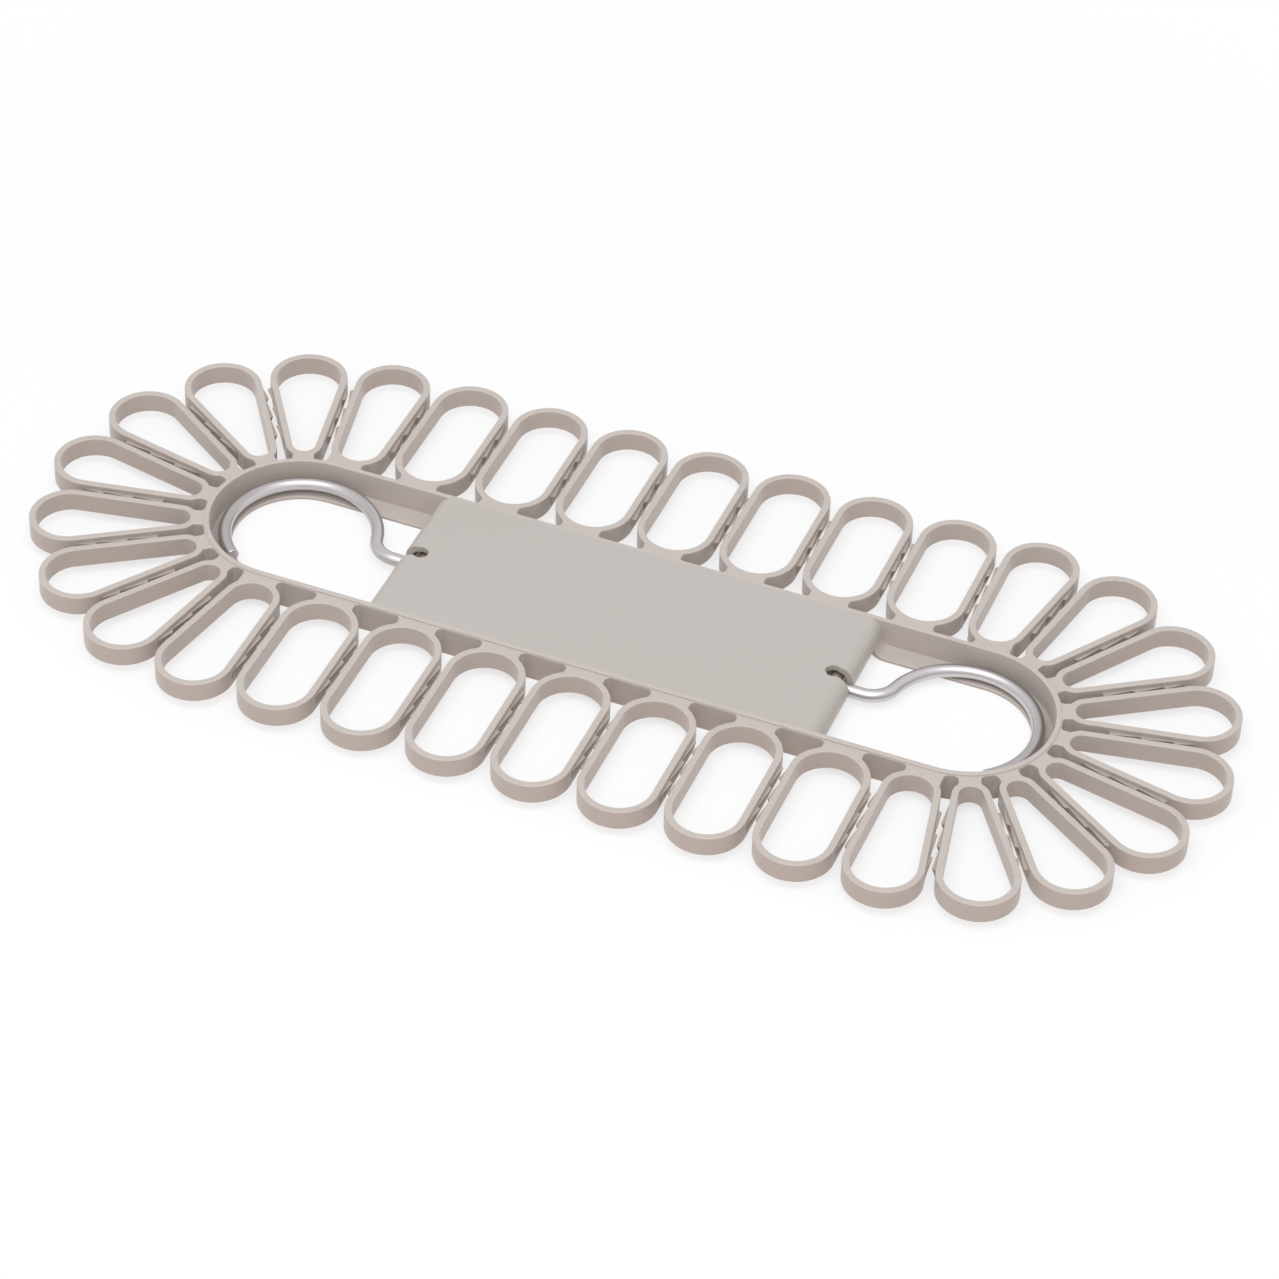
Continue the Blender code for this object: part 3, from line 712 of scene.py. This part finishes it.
def add_tooth_row(builder, side, root, tip, flip):
    """A row of saw teeth on one flank: flat on top, leaning back into the wall below."""
    along = Vector((math.sin(side.lean), math.cos(side.lean)))
    outward = Vector((math.cos(side.lean), -math.sin(side.lean)))
    tangent = root.x * along.x + root.y * along.y
    line_start = outward * side.offset
    profile = saw_profile(side.teeth, tip.x * along.x + tip.y * along.y)
    top = LOOP_TOP - TOOTH_DROP
    levels = [(top - drop, 1.0, inset) for inset, drop in reversed(rounding(TOOTH_EDGE_ROUND))]
    levels.append((top - TOOTH_DEPTH, TOOTH_FOOT_SHARE, 0.0))
    levels.append((top - TOOTH_DEPTH - TOOTH_RUNOUT, 0.0, TOOTH_BITE / 2))
    rings = []
    for height, share, inset in levels:
        edge = []
        for distance, rise in profile:
            sag = max(tangent - distance, 0.0)
            sink = root.radius - math.sqrt(root.radius**2 - sag**2)
            spot = line_start + along * distance + outward * (rise * share - inset - sink)
            edge.append(spot)
        ends = (profile[-1][0], profile[0][0])
        edge += [line_start + along * distance - outward * TOOTH_BITE * 2 for distance in ends]
        rings.append([(flip * spot.x, spot.y, height) for spot in edge])
    already = len(builder.verts)
    sweep(builder, rings, closed=False)
    # The row's points carry painted shade, brown as the shaded gaps between the loops.
    builder.verts.ensure_lookup_table()
    shaded = builder.verts.layers.float["tooth_shade"]
    for corner in builder.verts[already:]:
        corner[shaded] = TOOTH_SHADE


def loop_builder(right, left, standoff, length):
    """Hairpin loop with its tip toward +Y, on its land, at its real height."""
    root_limit = RAIL_RADIUS + standoff
    root = touching_circle(right, left, root_limit, -1)
    tip = touching_circle(right, left, root_limit + length, 1)
    right_points = land_outline(right, root)
    left_points = mirrored(land_outline(left, reversed_side(root)))
    turn = (-right.lean, math.pi + left.lean)
    round_tip = arc((tip.x, tip.y), tip.radius, *turn, TIP_STEPS)
    outline = anticlockwise(without_doubles(right_points + round_tip + left_points[::-1]))
    hole = arc((tip.x, tip.y), tip.radius - LOOP_WALL, *turn, TIP_STEPS)
    root_turn = (math.pi + left.lean, 2 * math.pi - right.lean)
    hole += arc((root.x, root.y), root.radius - LOOP_WALL, *root_turn, 2 * ROOT_STEPS)
    hole = anticlockwise(without_doubles(hole))

    edge = rounding(LOOP_EDGE_ROUND)
    levels = [(inset, LOOP_LIFT + drop) for inset, drop in reversed(edge)]
    levels += [(inset, LOOP_TOP - drop) for inset, drop in edge]
    builder = bmesh.new()
    # A layer for the painted shade of the tooth rows.
    builder.verts.layers.float.new("tooth_shade")
    rims = []
    for points, inward in ((outline, 1), (hole, -1)):
        rings = []
        for inset, height in levels:
            moved = offset_outline(points, inward * inset)
            rings.append([builder.verts.new((x, y, height)) for x, y in moved])
        for one, two in zip(rings, rings[1:]):
            bridge(builder, one, two)
        rims.append(rings)
    for level in (0, -1):
        rim = rims[0][level] + rims[1][level]
        flat = [[Vector((v.co.x, v.co.y, 0)) for v in rings[level]] for rings in rims]
        for a, b, c in tessellate_polygon(flat):
            builder.faces.new((rim[a], rim[b], rim[c]))
    add_tooth_row(builder, right, root, tip, 1)
    add_tooth_row(builder, left, reversed_side(root), reversed_side(tip), -1)
    return builder


def add_loop(node, right, left, standoff, length, surface, x, turn):
    builder = loop_builder(right, left, standoff, length)
    place = Matrix.Translation((x, 0, 0)) @ Matrix.Rotation(turn, 4, "Z")
    add_moulded(node, builder, surface, place=place)


def build_loops(surface):
    """Loops along both sides and round both ends.

    Flanks that face the rack's right end have their steep teeth toward the rail, flanks that
    face its left end toward the tips, so that the teeth on the two sides of a gap interleave.
    """
    flank = (LOOP_PITCH - LOOP_GAP) / 2
    lean_offset = -END_CENTRE_INSET * math.cos(END_LEAN) - LOOP_GAP / 2
    last = LOOPS_PER_SIDE - 1
    for side_name, turn in (("rear", 0.0), ("front", math.pi)):
        for index in range(LOOPS_PER_SIDE):
            sides = []
            for teeth, corner in (("rail_side", last), ("tip_side", 0)):
                if index == corner:
                    inset = -END_CENTRE_INSET
                    sides.append(Side(END_LEAN, lean_offset, CORNER_LAND_SHARE, inset, teeth))
                else:
                    sides.append(Side(0.0, flank, SIDE_LAND_SHARE, None, teeth))
            right, left = sides if side_name == "rear" else reversed(sides)
            x = (index - last / 2) * LOOP_PITCH
            node = f"{side_name}_loop_{index + 1}"
            add_loop(node, right, left, SIDE_STANDOFF, SIDE_LENGTH, surface, x, turn)
    middle = (LOOPS_PER_END + 1) / 2
    for end_name, end in (("right", 1), ("left", -1)):
        for index in range(1, LOOPS_PER_END + 1):
            if index == middle:
                facing = "tip_side" if end > 0 else "rail_side"
                teeth = (facing, facing)
            elif index < middle:
                teeth = ("rail_side", "tip_side")
            else:
                teeth = ("tip_side", "rail_side")
            right, left = (
                Side(END_LEAN, -LOOP_GAP / 2, END_LAND_SHARE, 0.0, row) for row in teeth
            )
            turn = -end * index * END_STEP
            x = end * END_CENTRE
            node = f"{end_name}_loop_{index}"
            add_loop(node, right, left, END_STANDOFF, END_LENGTH, surface, x, turn)


def hook_route():
    """The wire's centre line from above, from the end of its foot on, its pivot at 0, 0."""
    contact = math.atan2(-EYE_DROP - NECK_BEND, NECK_RISE)
    route = [(0, FOOT_LENGTH)]
    route += arc((FOOT_BEND, FOOT_BEND), FOOT_BEND, math.pi, math.pi * 3 / 2, BEND_STEPS)
    route += arc((STEM_LENGTH, NECK_BEND), NECK_BEND, -math.pi / 2, contact, BEND_STEPS)
    eye = arc((EYE_DISTANCE, -EYE_DROP), EYE_RADIUS, math.pi + contact, TIP_ANGLE, EYE_STEPS)
    return route + eye[1:]


def build_hook(node, side, tilt, surface):
    """A folding hook: drawn wire on its route, with slightly rounded cut ends."""
    route = [Vector((side * x, y, 0)) for x, y in hook_route()]
    stations = []
    travelled = 0.0
    for index, here in enumerate(route):
        before = route[max(index - 1, 0)]
        after = route[min(index + 1, len(route) - 1)]
        travelled += (here - before).length
        stations.append((here, (after - before).normalized(), travelled))

    def cut_end(station, way):
        here, along, length = station
        return [
            (here + along * way * (WIRE_END_ROUND - drop), along, WIRE_RADIUS - inset, length)
            for inset, drop in rounding(WIRE_END_ROUND, WIRE_END_STEPS)[1:]
        ]

    rings = cut_end(stations[0], -1)[::-1]
    rings += [(here, along, WIRE_RADIUS, length) for here, along, length in stations]
    rings += cut_end(stations[-1], 1)
    builder = bmesh.new()
    run = builder.verts.layers.float_vector.new("along_wire")
    sections = []
    for here, along, radius, length in rings:
        across = Vector((-along.y, along.x, 0))
        ring = []
        for step in range(WIRE_SIDES):
            angle = 2 * math.pi * step / WIRE_SIDES
            sideways = radius * math.cos(angle)
            upward = radius * math.sin(angle)
            corner = builder.verts.new(here + across * sideways + Vector((0, 0, upward)))
            corner[run] = (sideways, upward, length)
            ring.append(corner)
        sections.append(ring)
    for one, two in zip(sections, sections[1:]):
        bridge(builder, one, two)
    builder.faces.new(sections[0])
    builder.faces.new(sections[-1])
    body = f"{node}_wire"
    place = Matrix.Translation(PIVOTS[body]) @ Matrix.Rotation(-side * tilt, 4, "Y")
    add_piece(node, builder, surface, body, (node,), place)


def feed(node, values):
    """Fills a node's inputs: a socket is linked, and anything else is set as the value."""
    for key, value in values.items():
        if isinstance(value, bpy.types.NodeSocket):
            node.id_data.links.new(value, node.inputs[key])
        else:
            node.inputs[key].default_value = value


def add_node(tree, kind, location, values=None, **settings):
    """A node at a place, with its settings and its inputs."""
    node = tree.nodes.new(kind)
    node.location = location
    for key, value in settings.items():
        setattr(node, key, value)
    feed(node, values or {})
    return node


def maths(tree, location, operation, *terms):
    """The result of a Math node on numbers and sockets."""
    node = add_node(tree, "ShaderNodeMath", location, dict(enumerate(terms)), operation=operation)
    return node.outputs[0]


def noise(tree, location, vector, scale, detail, roughness=0.5):
    """Noise from 0 to 1. At a scale of 100 its patches are about 10 mm apart."""
    values = {"Vector": vector, "Scale": scale, "Detail": detail, "Roughness": roughness}
    return add_node(tree, "ShaderNodeTexNoise", location, values).outputs["Fac"]


def ramp(tree, location, value, span, ends=(0.0, 1.0), kind="SMOOTHSTEP"):
    """The first of ends below the span, the second above it, and a ramp over the span."""
    values = {
        "Value": value,
        "From Min": span[0],
        "From Max": span[1],
        "To Min": ends[0],
        "To Max": ends[1],
    }
    node = add_node(tree, "ShaderNodeMapRange", location, values, interpolation_type=kind)
    return node.outputs["Result"]


def mix_colours(tree, location, share, one, two):
    """Colour one where the share is 0, and colour two where it is 1."""
    values = {"Factor": share, "A": one, "B": two}
    return add_node(tree, "ShaderNodeMix", location, values, data_type="RGBA").outputs["Result"]


def mix_shaders(tree, location, share, one, two):
    """Shader one where the share is 0, and shader two where it is 1."""
    values = {"Fac": share, 1: one, 2: two}
    return add_node(tree, "ShaderNodeMixShader", location, values).outputs["Shader"]


def new_group(name, inputs, outputs):
    """An empty shader group, the sockets that it is given, and the node for its results.

    inputs are rows of name, type and default, and outputs are rows of name and type.
    """
    group = bpy.data.node_groups.new(name, "ShaderNodeTree")
    for label, kind, default in inputs:
        socket = group.interface.new_socket(label, in_out="INPUT", socket_type=kind)
        if default is not None:
            socket.default_value = default
    for label, kind in outputs:
        group.interface.new_socket(label, in_out="OUTPUT", socket_type=kind)
    source = add_node(group, "NodeGroupInput", (-900, 0))
    result = add_node(group, "NodeGroupOutput", (600, 0))
    return group, source.outputs, result


def satin_grain_group():
    """Fine even grain of an etched mould: a height for the bump and a small roughness change."""
    group, given, result = new_group(
        "satin_grain",
        [
            ("Vector", VECTOR, None),
            ("Grains per Metre", FLOAT, 2400.0),
            ("Roughness", FLOAT, 0.45),
            ("Spread", FLOAT, 0.06),
        ],
        [("Height", FLOAT), ("Roughness", FLOAT)],
    )
    fine = noise(group, (-500, 150), given["Vector"], given["Grains per Metre"], 3.0, 0.6)
    broad = noise(group, (-500, -150), given["Vector"], ROUGHNESS_PATCHES, 2.0)
    centred = maths(group, (-250, -150), "SUBTRACT", broad, 0.5)
    spread = maths(group, (-50, -150), "MULTIPLY", centred, given["Spread"])
    total = maths(group, (150, -150), "ADD", spread, given["Roughness"])
    feed(result, {"Height": fine, "Roughness": total})
    return group


def tone_drift_group():
    """Drift between two close tones: slow on the plastic, and on the wire painted reflection in
    dark streaks.
    """
    group, given, result = new_group(
        "tone_drift",
        [
            ("Vector", VECTOR, None),
            ("Tone", COLOUR, MID_GREY),
            ("Other Tone", COLOUR, MID_GREY),
            ("Patches per Metre", FLOAT, 18.0),
        ],
        [("Color", COLOUR)],
    )
    patches = noise(group, (-500, 0), given["Vector"], given["Patches per Metre"], 3.0, 0.55)
    share = ramp(group, (-250, 0), patches, DRIFT_SPAN)
    tone = mix_colours(group, (50, 0), share, given["Tone"], given["Other Tone"])
    feed(result, {"Color": tone})
    return group


def edge_highlight_group():
    """Painted highlight on rounded edges: paler and smoother there, broken up by noise."""
    group, given, result = new_group(
        "edge_highlight",
        [
            ("Vector", VECTOR, None),
            ("Color", COLOUR, MID_GREY),
            ("Highlight Color", COLOUR, MID_GREY),
            ("Roughness", FLOAT, 0.45),
            ("Polish", FLOAT, 0.08),
            ("Amount", FLOAT, 0.5),
        ],
        [("Color", COLOUR), ("Roughness", FLOAT)],
    )
    edges = add_node(group, "ShaderNodeAttribute", (-650, 250), attribute_name="edge_highlight")
    spots = noise(group, (-650, 0), given["Vector"], HIGHLIGHT_PATCHES, 4.0, 0.65)
    broken = ramp(group, (-400, 0), spots, HIGHLIGHT_SPAN, kind="LINEAR")
    highlit = maths(group, (-200, 150), "MULTIPLY", edges.outputs["Fac"], broken)
    mask = maths(group, (0, 150), "MULTIPLY", highlit, given["Amount"])
    tone = mix_colours(group, (250, 150), mask, given["Color"], given["Highlight Color"])
    polish = maths(group, (200, -150), "MULTIPLY", mask, given["Polish"])
    smoother = maths(group, (400, -150), "SUBTRACT", given["Roughness"], polish)
    feed(result, {"Color": tone, "Roughness": smoother})
    return group


def painted_shade_group():
    """Painted shade: it tints and dulls, more or less so from spot to spot.

    Bare is 1 where there is none.
    """
    group, given, result = new_group(
        "painted_shade",
        [
            ("Vector", VECTOR, None),
            ("Mask", FLOAT, 0.0),
            ("Patchiness", FLOAT, 0.3),
            ("Color", COLOUR, MID_GREY),
            ("Shade Color", COLOUR, MID_GREY),
            ("Roughness", FLOAT, 0.45),
            ("Dullness", FLOAT, 0.3),
        ],
        [("Color", COLOUR), ("Roughness", FLOAT), ("Bare", FLOAT)],
    )
    spots = noise(group, (-650, 250), given["Vector"], SHADE_PATCHES, 2.0)
    thin = maths(group, (-450, 250), "MULTIPLY", spots, given["Patchiness"])
    even = maths(group, (-250, 250), "SUBTRACT", 1.0, thin)
    shaded = maths(group, (-50, 250), "MULTIPLY", given["Mask"], even)
    tone = mix_colours(group, (250, 250), shaded, given["Color"], given["Shade Color"])
    dulled = maths(group, (250, 0), "MULTIPLY_ADD", shaded, given["Dullness"], given["Roughness"])
    bare = maths(group, (250, -200), "SUBTRACT", 1.0, shaded)
    feed(result, {"Color": tone, "Roughness": dulled, "Bare": bare})
    return group


def new_material(name):
    made = bpy.data.materials.new(name)
    made.use_nodes = True
    return made, made.node_tree, made.node_tree.nodes["Principled BSDF"]


def place_group(tree, location, group, values):
    """The outputs of a shader group that is placed in a material."""
    return add_node(tree, "ShaderNodeGroup", location, values, node_tree=group).outputs


def rack_plastic_material(groups, name, main_tone, other_tone):
    """Warm grey moulded polypropylene with a fine satin grain, a painted highlight on rounded
    edges and painted shade on the tooth rows.
    """
    made, tree, shader = new_material(name)
    place = add_node(tree, "ShaderNodeTexCoord", (-1200, 0)).outputs["Object"]
    tone = place_group(
        tree,
        (-900, 200),
        groups["tone_drift"],
        {
            "Vector": place,
            "Tone": linear(main_tone),
            "Other Tone": linear(other_tone),
            "Patches per Metre": 16.0,
        },
    )
    grain = place_group(
        tree,
        (-900, -150),
        groups["satin_grain"],
        {"Vector": place, "Grains per Metre": 2300.0, "Roughness": 0.34, "Spread": 0.012},
    )
    # Painted highlight on the rounded edges.
    edge_light = place_group(
        tree,
        (-550, 150),
        groups["edge_highlight"],
        {
            "Vector": place,
            "Color": tone["Color"],
            "Highlight Color": linear(PLASTIC_HIGHLIGHT),
            "Roughness": grain["Roughness"],
            "Polish": 0.10,
            "Amount": 0.55,
        },
    )
    # Painted shade on the tooth rows, brown as the shaded gaps between the loops.
    teeth = add_node(tree, "ShaderNodeAttribute", (-550, 450), attribute_name="tooth_shade")
    shaded = place_group(
        tree,
        (-300, 150),
        groups["painted_shade"],
        {
            "Vector": place,
            "Mask": teeth.outputs["Fac"],
            "Patchiness": 0.4,
            "Color": edge_light["Color"],
            "Shade Color": linear(SHADE_TONE),
            "Roughness": edge_light["Roughness"],
            "Dullness": 0.25,
        },
    )
    bump = add_node(
        tree,
        "ShaderNodeBump",
        (-300, -250),
        {"Strength": 0.12, "Distance": BUMP_HEIGHT, "Height": grain["Height"]},
    )
    feed(
        shader,
        {
            "Base Color": shaded["Color"],
            "Roughness": shaded["Roughness"],
            "Normal": bump.outputs["Normal"],
            "IOR": 1.49,
            "Specular IOR Level": 0.5,
            "Sheen Weight": 0.22,
            "Sheen Roughness": 0.35,
            "Subsurface Weight": 0.2,
            "Subsurface Radius": (1.0, 0.85, 0.7),
            "Subsurface Scale": 0.0012,
        },
    )
    return made


def hook_steel_material(groups):
    """Satin stainless wire with faint drawing lines along it, painted reflection in dark streaks,
    and painted shade where it bears in its clip.
    """
    made, tree, shader = new_material("hook_steel")
    place = add_node(tree, "ShaderNodeTexCoord", (-1500, 0)).outputs["Object"]
    wire = add_node(tree, "ShaderNodeAttribute", (-1500, -300), attribute_name="along_wire")
    run = wire.outputs["Vector"]
    streaks = add_node(
        tree, "ShaderNodeMapping", (-1300, 200), {"Vector": run, "Scale": STREAK_STRETCH}
    )
    lines = add_node(
        tree, "ShaderNodeMapping", (-1300, -250), {"Vector": run, "Scale": LINE_STRETCH}
    )
    drawn = noise(tree, (-1100, -250), lines.outputs["Vector"], LINES_PER_METRE, 4.0, 0.6)
    # Painted reflection: dark streaks along the wire.
    tone = place_group(
        tree,
        (-900, 200),
        groups["tone_drift"],
        {
            "Vector": streaks.outputs["Vector"],
            "Tone": linear(STEEL),
            "Other Tone": linear(STEEL_REFLECTION_STREAK),
            "Patches per Metre": 420.0,
        },
    )
    grain = place_group(
        tree,
        (-900, 0),
        groups["satin_grain"],
        {"Vector": place, "Grains per Metre": 3000.0, "Roughness": 0.36, "Spread": 0.12},
    )
    # Painted highlight on the rounded cut ends.
    edge_light = place_group(
        tree,
        (-550, 150),
        groups["edge_highlight"],
        {
            "Vector": place,
            "Color": tone["Color"],
            "Highlight Color": linear(STEEL_HIGHLIGHT),
            "Roughness": grain["Roughness"],
            "Polish": 0.08,
            "Amount": 0.8,
        },
    )
    # Painted shade on the foot in its clip, brown as the shaded keyhole; there the wire is not
    # metal.
    travelled = add_node(tree, "ShaderNodeSeparateXYZ", (-1300, -550), {"Vector": run})
    offset = maths(
        tree, (-1100, -550), "SUBTRACT", travelled.outputs["Z"], SHADE_FROM_FOOT_END
    )
    away = maths(tree, (-900, -550), "ABSOLUTE", offset)
    shaded = place_group(
        tree,
        (-300, 150),
        groups["painted_shade"],
        {
            "Vector": place,
            "Mask": ramp(tree, (-700, -550), away, SHADE_WITHIN, (1.0, 0.0)),
            "Patchiness": 0.0,
            "Color": edge_light["Color"],
            "Shade Color": linear(SHADE_TONE),
            "Roughness": edge_light["Roughness"],
            "Dullness": 0.35,
        },
    )
    bump = add_node(
        tree,
        "ShaderNodeBump",
        (-300, -250),
        {"Strength": 0.25, "Distance": BUMP_HEIGHT, "Height": drawn},
    )
    feed(
        shader,
        {
            "Base Color": shaded["Color"],
            "Metallic": shaded["Bare"],
            "Roughness": shaded["Roughness"],
            "Normal": bump.outputs["Normal"],
        },
    )
    return made


def seen_by_eye(tree, location):
    """1 for camera, glossy and transmission rays: what sees the background as it is."""
    x, y = location
    path = add_node(tree, "ShaderNodeLightPath", location).outputs
    either = maths(tree, (x + 200, y), "MAXIMUM", path["Is Camera Ray"], path["Is Glossy Ray"])
    return maths(tree, (x + 400, y), "MAXIMUM", either, path["Is Transmission Ray"])


def floor_paper_material():
    """Pale paper that glows a little to the eye, so that it reads white and keeps its shadow.

    Away from the rack it goes over into the white background. From below it is clear, so
    that the rack's underside can be seen.
    """
    made, tree, shader = new_material("floor_paper")
    seen = seen_by_eye(tree, (-1000, 300))
    tone = mix_colours(tree, (-300, 100), seen, linear(FLOOR_BOUNCE), linear(FLOOR))
    feed(shader, {"Base Color": tone, "Roughness": 1.0, "Specular IOR Level": 0.0})
    place = add_node(tree, "ShaderNodeTexCoord", (-1000, 600)).outputs["Object"]
    reach = add_node(tree, "ShaderNodeVectorMath", (-800, 600), {0: place}, operation="LENGTH")
    fade = ramp(tree, (-600, 600), reach.outputs["Value"], SHADOW_REACH, (FLOOR_GLOW, 1.0))
    share = maths(tree, (-200, 300), "MULTIPLY", seen, fade)
    glow = add_node(tree, "ShaderNodeEmission", (0, -300)).outputs["Emission"]
    paper = mix_shaders(tree, (300, 0), share, shader.outputs["BSDF"], glow)
    below = add_node(tree, "ShaderNodeNewGeometry", (100, 300)).outputs["Backfacing"]
    clear = add_node(tree, "ShaderNodeBsdfTransparent", (300, -200)).outputs["BSDF"]
    output = tree.nodes["Material Output"]
    output.location = (800, 0)
    feed(output, {"Surface": mix_shaders(tree, (550, 0), below, paper, clear)})
    return made


def build_floor():
    corners = [(-1, -1, 0), (1, -1, 0), (1, 1, 0), (-1, 1, 0)]
    mesh = bpy.data.meshes.new("floor")
    mesh.from_pydata([Vector(corner) * FLOOR_HALF for corner in corners], [], [(0, 1, 2, 3)])
    mesh.materials.append(floor_paper_material())
    floor = bpy.data.objects.new("floor", mesh)
    bpy.context.scene.collection.objects.link(floor)


def build_light():
    """White studio: an even sky and one broad lamp above."""
    world = bpy.data.worlds.new("studio")
    bpy.context.scene.world = world
    world.use_nodes = True
    tree = world.node_tree
    sky = tree.nodes["Background"]
    feed(sky, {"Color": (*SKY_LIGHT, 1.0), "Strength": SKY_STRENGTH})
    white = add_node(tree, "ShaderNodeBackground", (0, -200), {"Color": (1.0, 1.0, 1.0, 1.0)})
    seen = seen_by_eye(tree, (-700, 300))
    both = sky.outputs["Background"], white.outputs["Background"]
    feed(tree.nodes["World Output"], {"Surface": mix_shaders(tree, (300, 0), seen, *both)})
    light = bpy.data.lights.new("softbox", "AREA")
    light.shape = "SQUARE"
    light.size = LAMP_SIZE
    light.energy = LAMP_POWER
    light.color = LAMP_LIGHT
    lamp = bpy.data.objects.new("softbox", light)
    lamp.location = (*LAMP_PLACE, LAMP_HEIGHT)
    lamp.rotation_euler = (-lamp.location).to_track_quat("-Z", "Y").to_euler()
    bpy.context.scene.collection.objects.link(lamp)


def build_camera():
    """Camera at the photograph's place, angle and roll."""
    level_back = math.cos(CAMERA_ELEVATION)
    back = Vector(
        (
            math.sin(CAMERA_AZIMUTH) * level_back,
            -math.cos(CAMERA_AZIMUTH) * level_back,
            math.sin(CAMERA_ELEVATION),
        )
    )
    level = Vector((0, 0, 1)).cross(back).normalized()
    upright = back.cross(level)
    right = level * math.cos(CAMERA_ROLL) + upright * math.sin(CAMERA_ROLL)
    up = upright * math.cos(CAMERA_ROLL) - level * math.sin(CAMERA_ROLL)
    data = bpy.data.cameras.new("photo_camera")
    data.lens = CAMERA_LENS
    data.sensor_width = CAMERA_SENSOR
    data.clip_start, data.clip_end = CAMERA_CLIP
    camera = bpy.data.objects.new("photo_camera", data)
    turn = Matrix((right, up, back)).transposed().to_4x4()
    camera.matrix_world = Matrix.Translation(LOOK_AT + back * CAMERA_DISTANCE) @ turn
    bpy.context.scene.collection.objects.link(camera)
    bpy.context.scene.camera = camera


def main():
    bpy.context.scene.view_settings.view_transform = "Standard"
    groups = {
        "satin_grain": satin_grain_group(),
        "tone_drift": tone_drift_group(),
        "edge_highlight": edge_highlight_group(),
        "painted_shade": painted_shade_group(),
    }
    plastic = rack_plastic_material(groups, "rack_plastic", PLASTIC, PLASTIC_WARM)
    plate_plastic = rack_plastic_material(groups, "plate_plastic", PLATE, PLATE_WARM)
    steel = hook_steel_material(groups)
    build_rail(plastic)
    build_ledges(plastic)
    build_plate(plate_plastic)
    build_ribs(plastic)
    build_clips(plastic)
    build_loops(plastic)
    build_hook("left_hook", -1, LEFT_TILT, steel)
    build_hook("right_hook", 1, RIGHT_TILT, steel)
    build_floor()
    build_light()
    build_camera()


main()
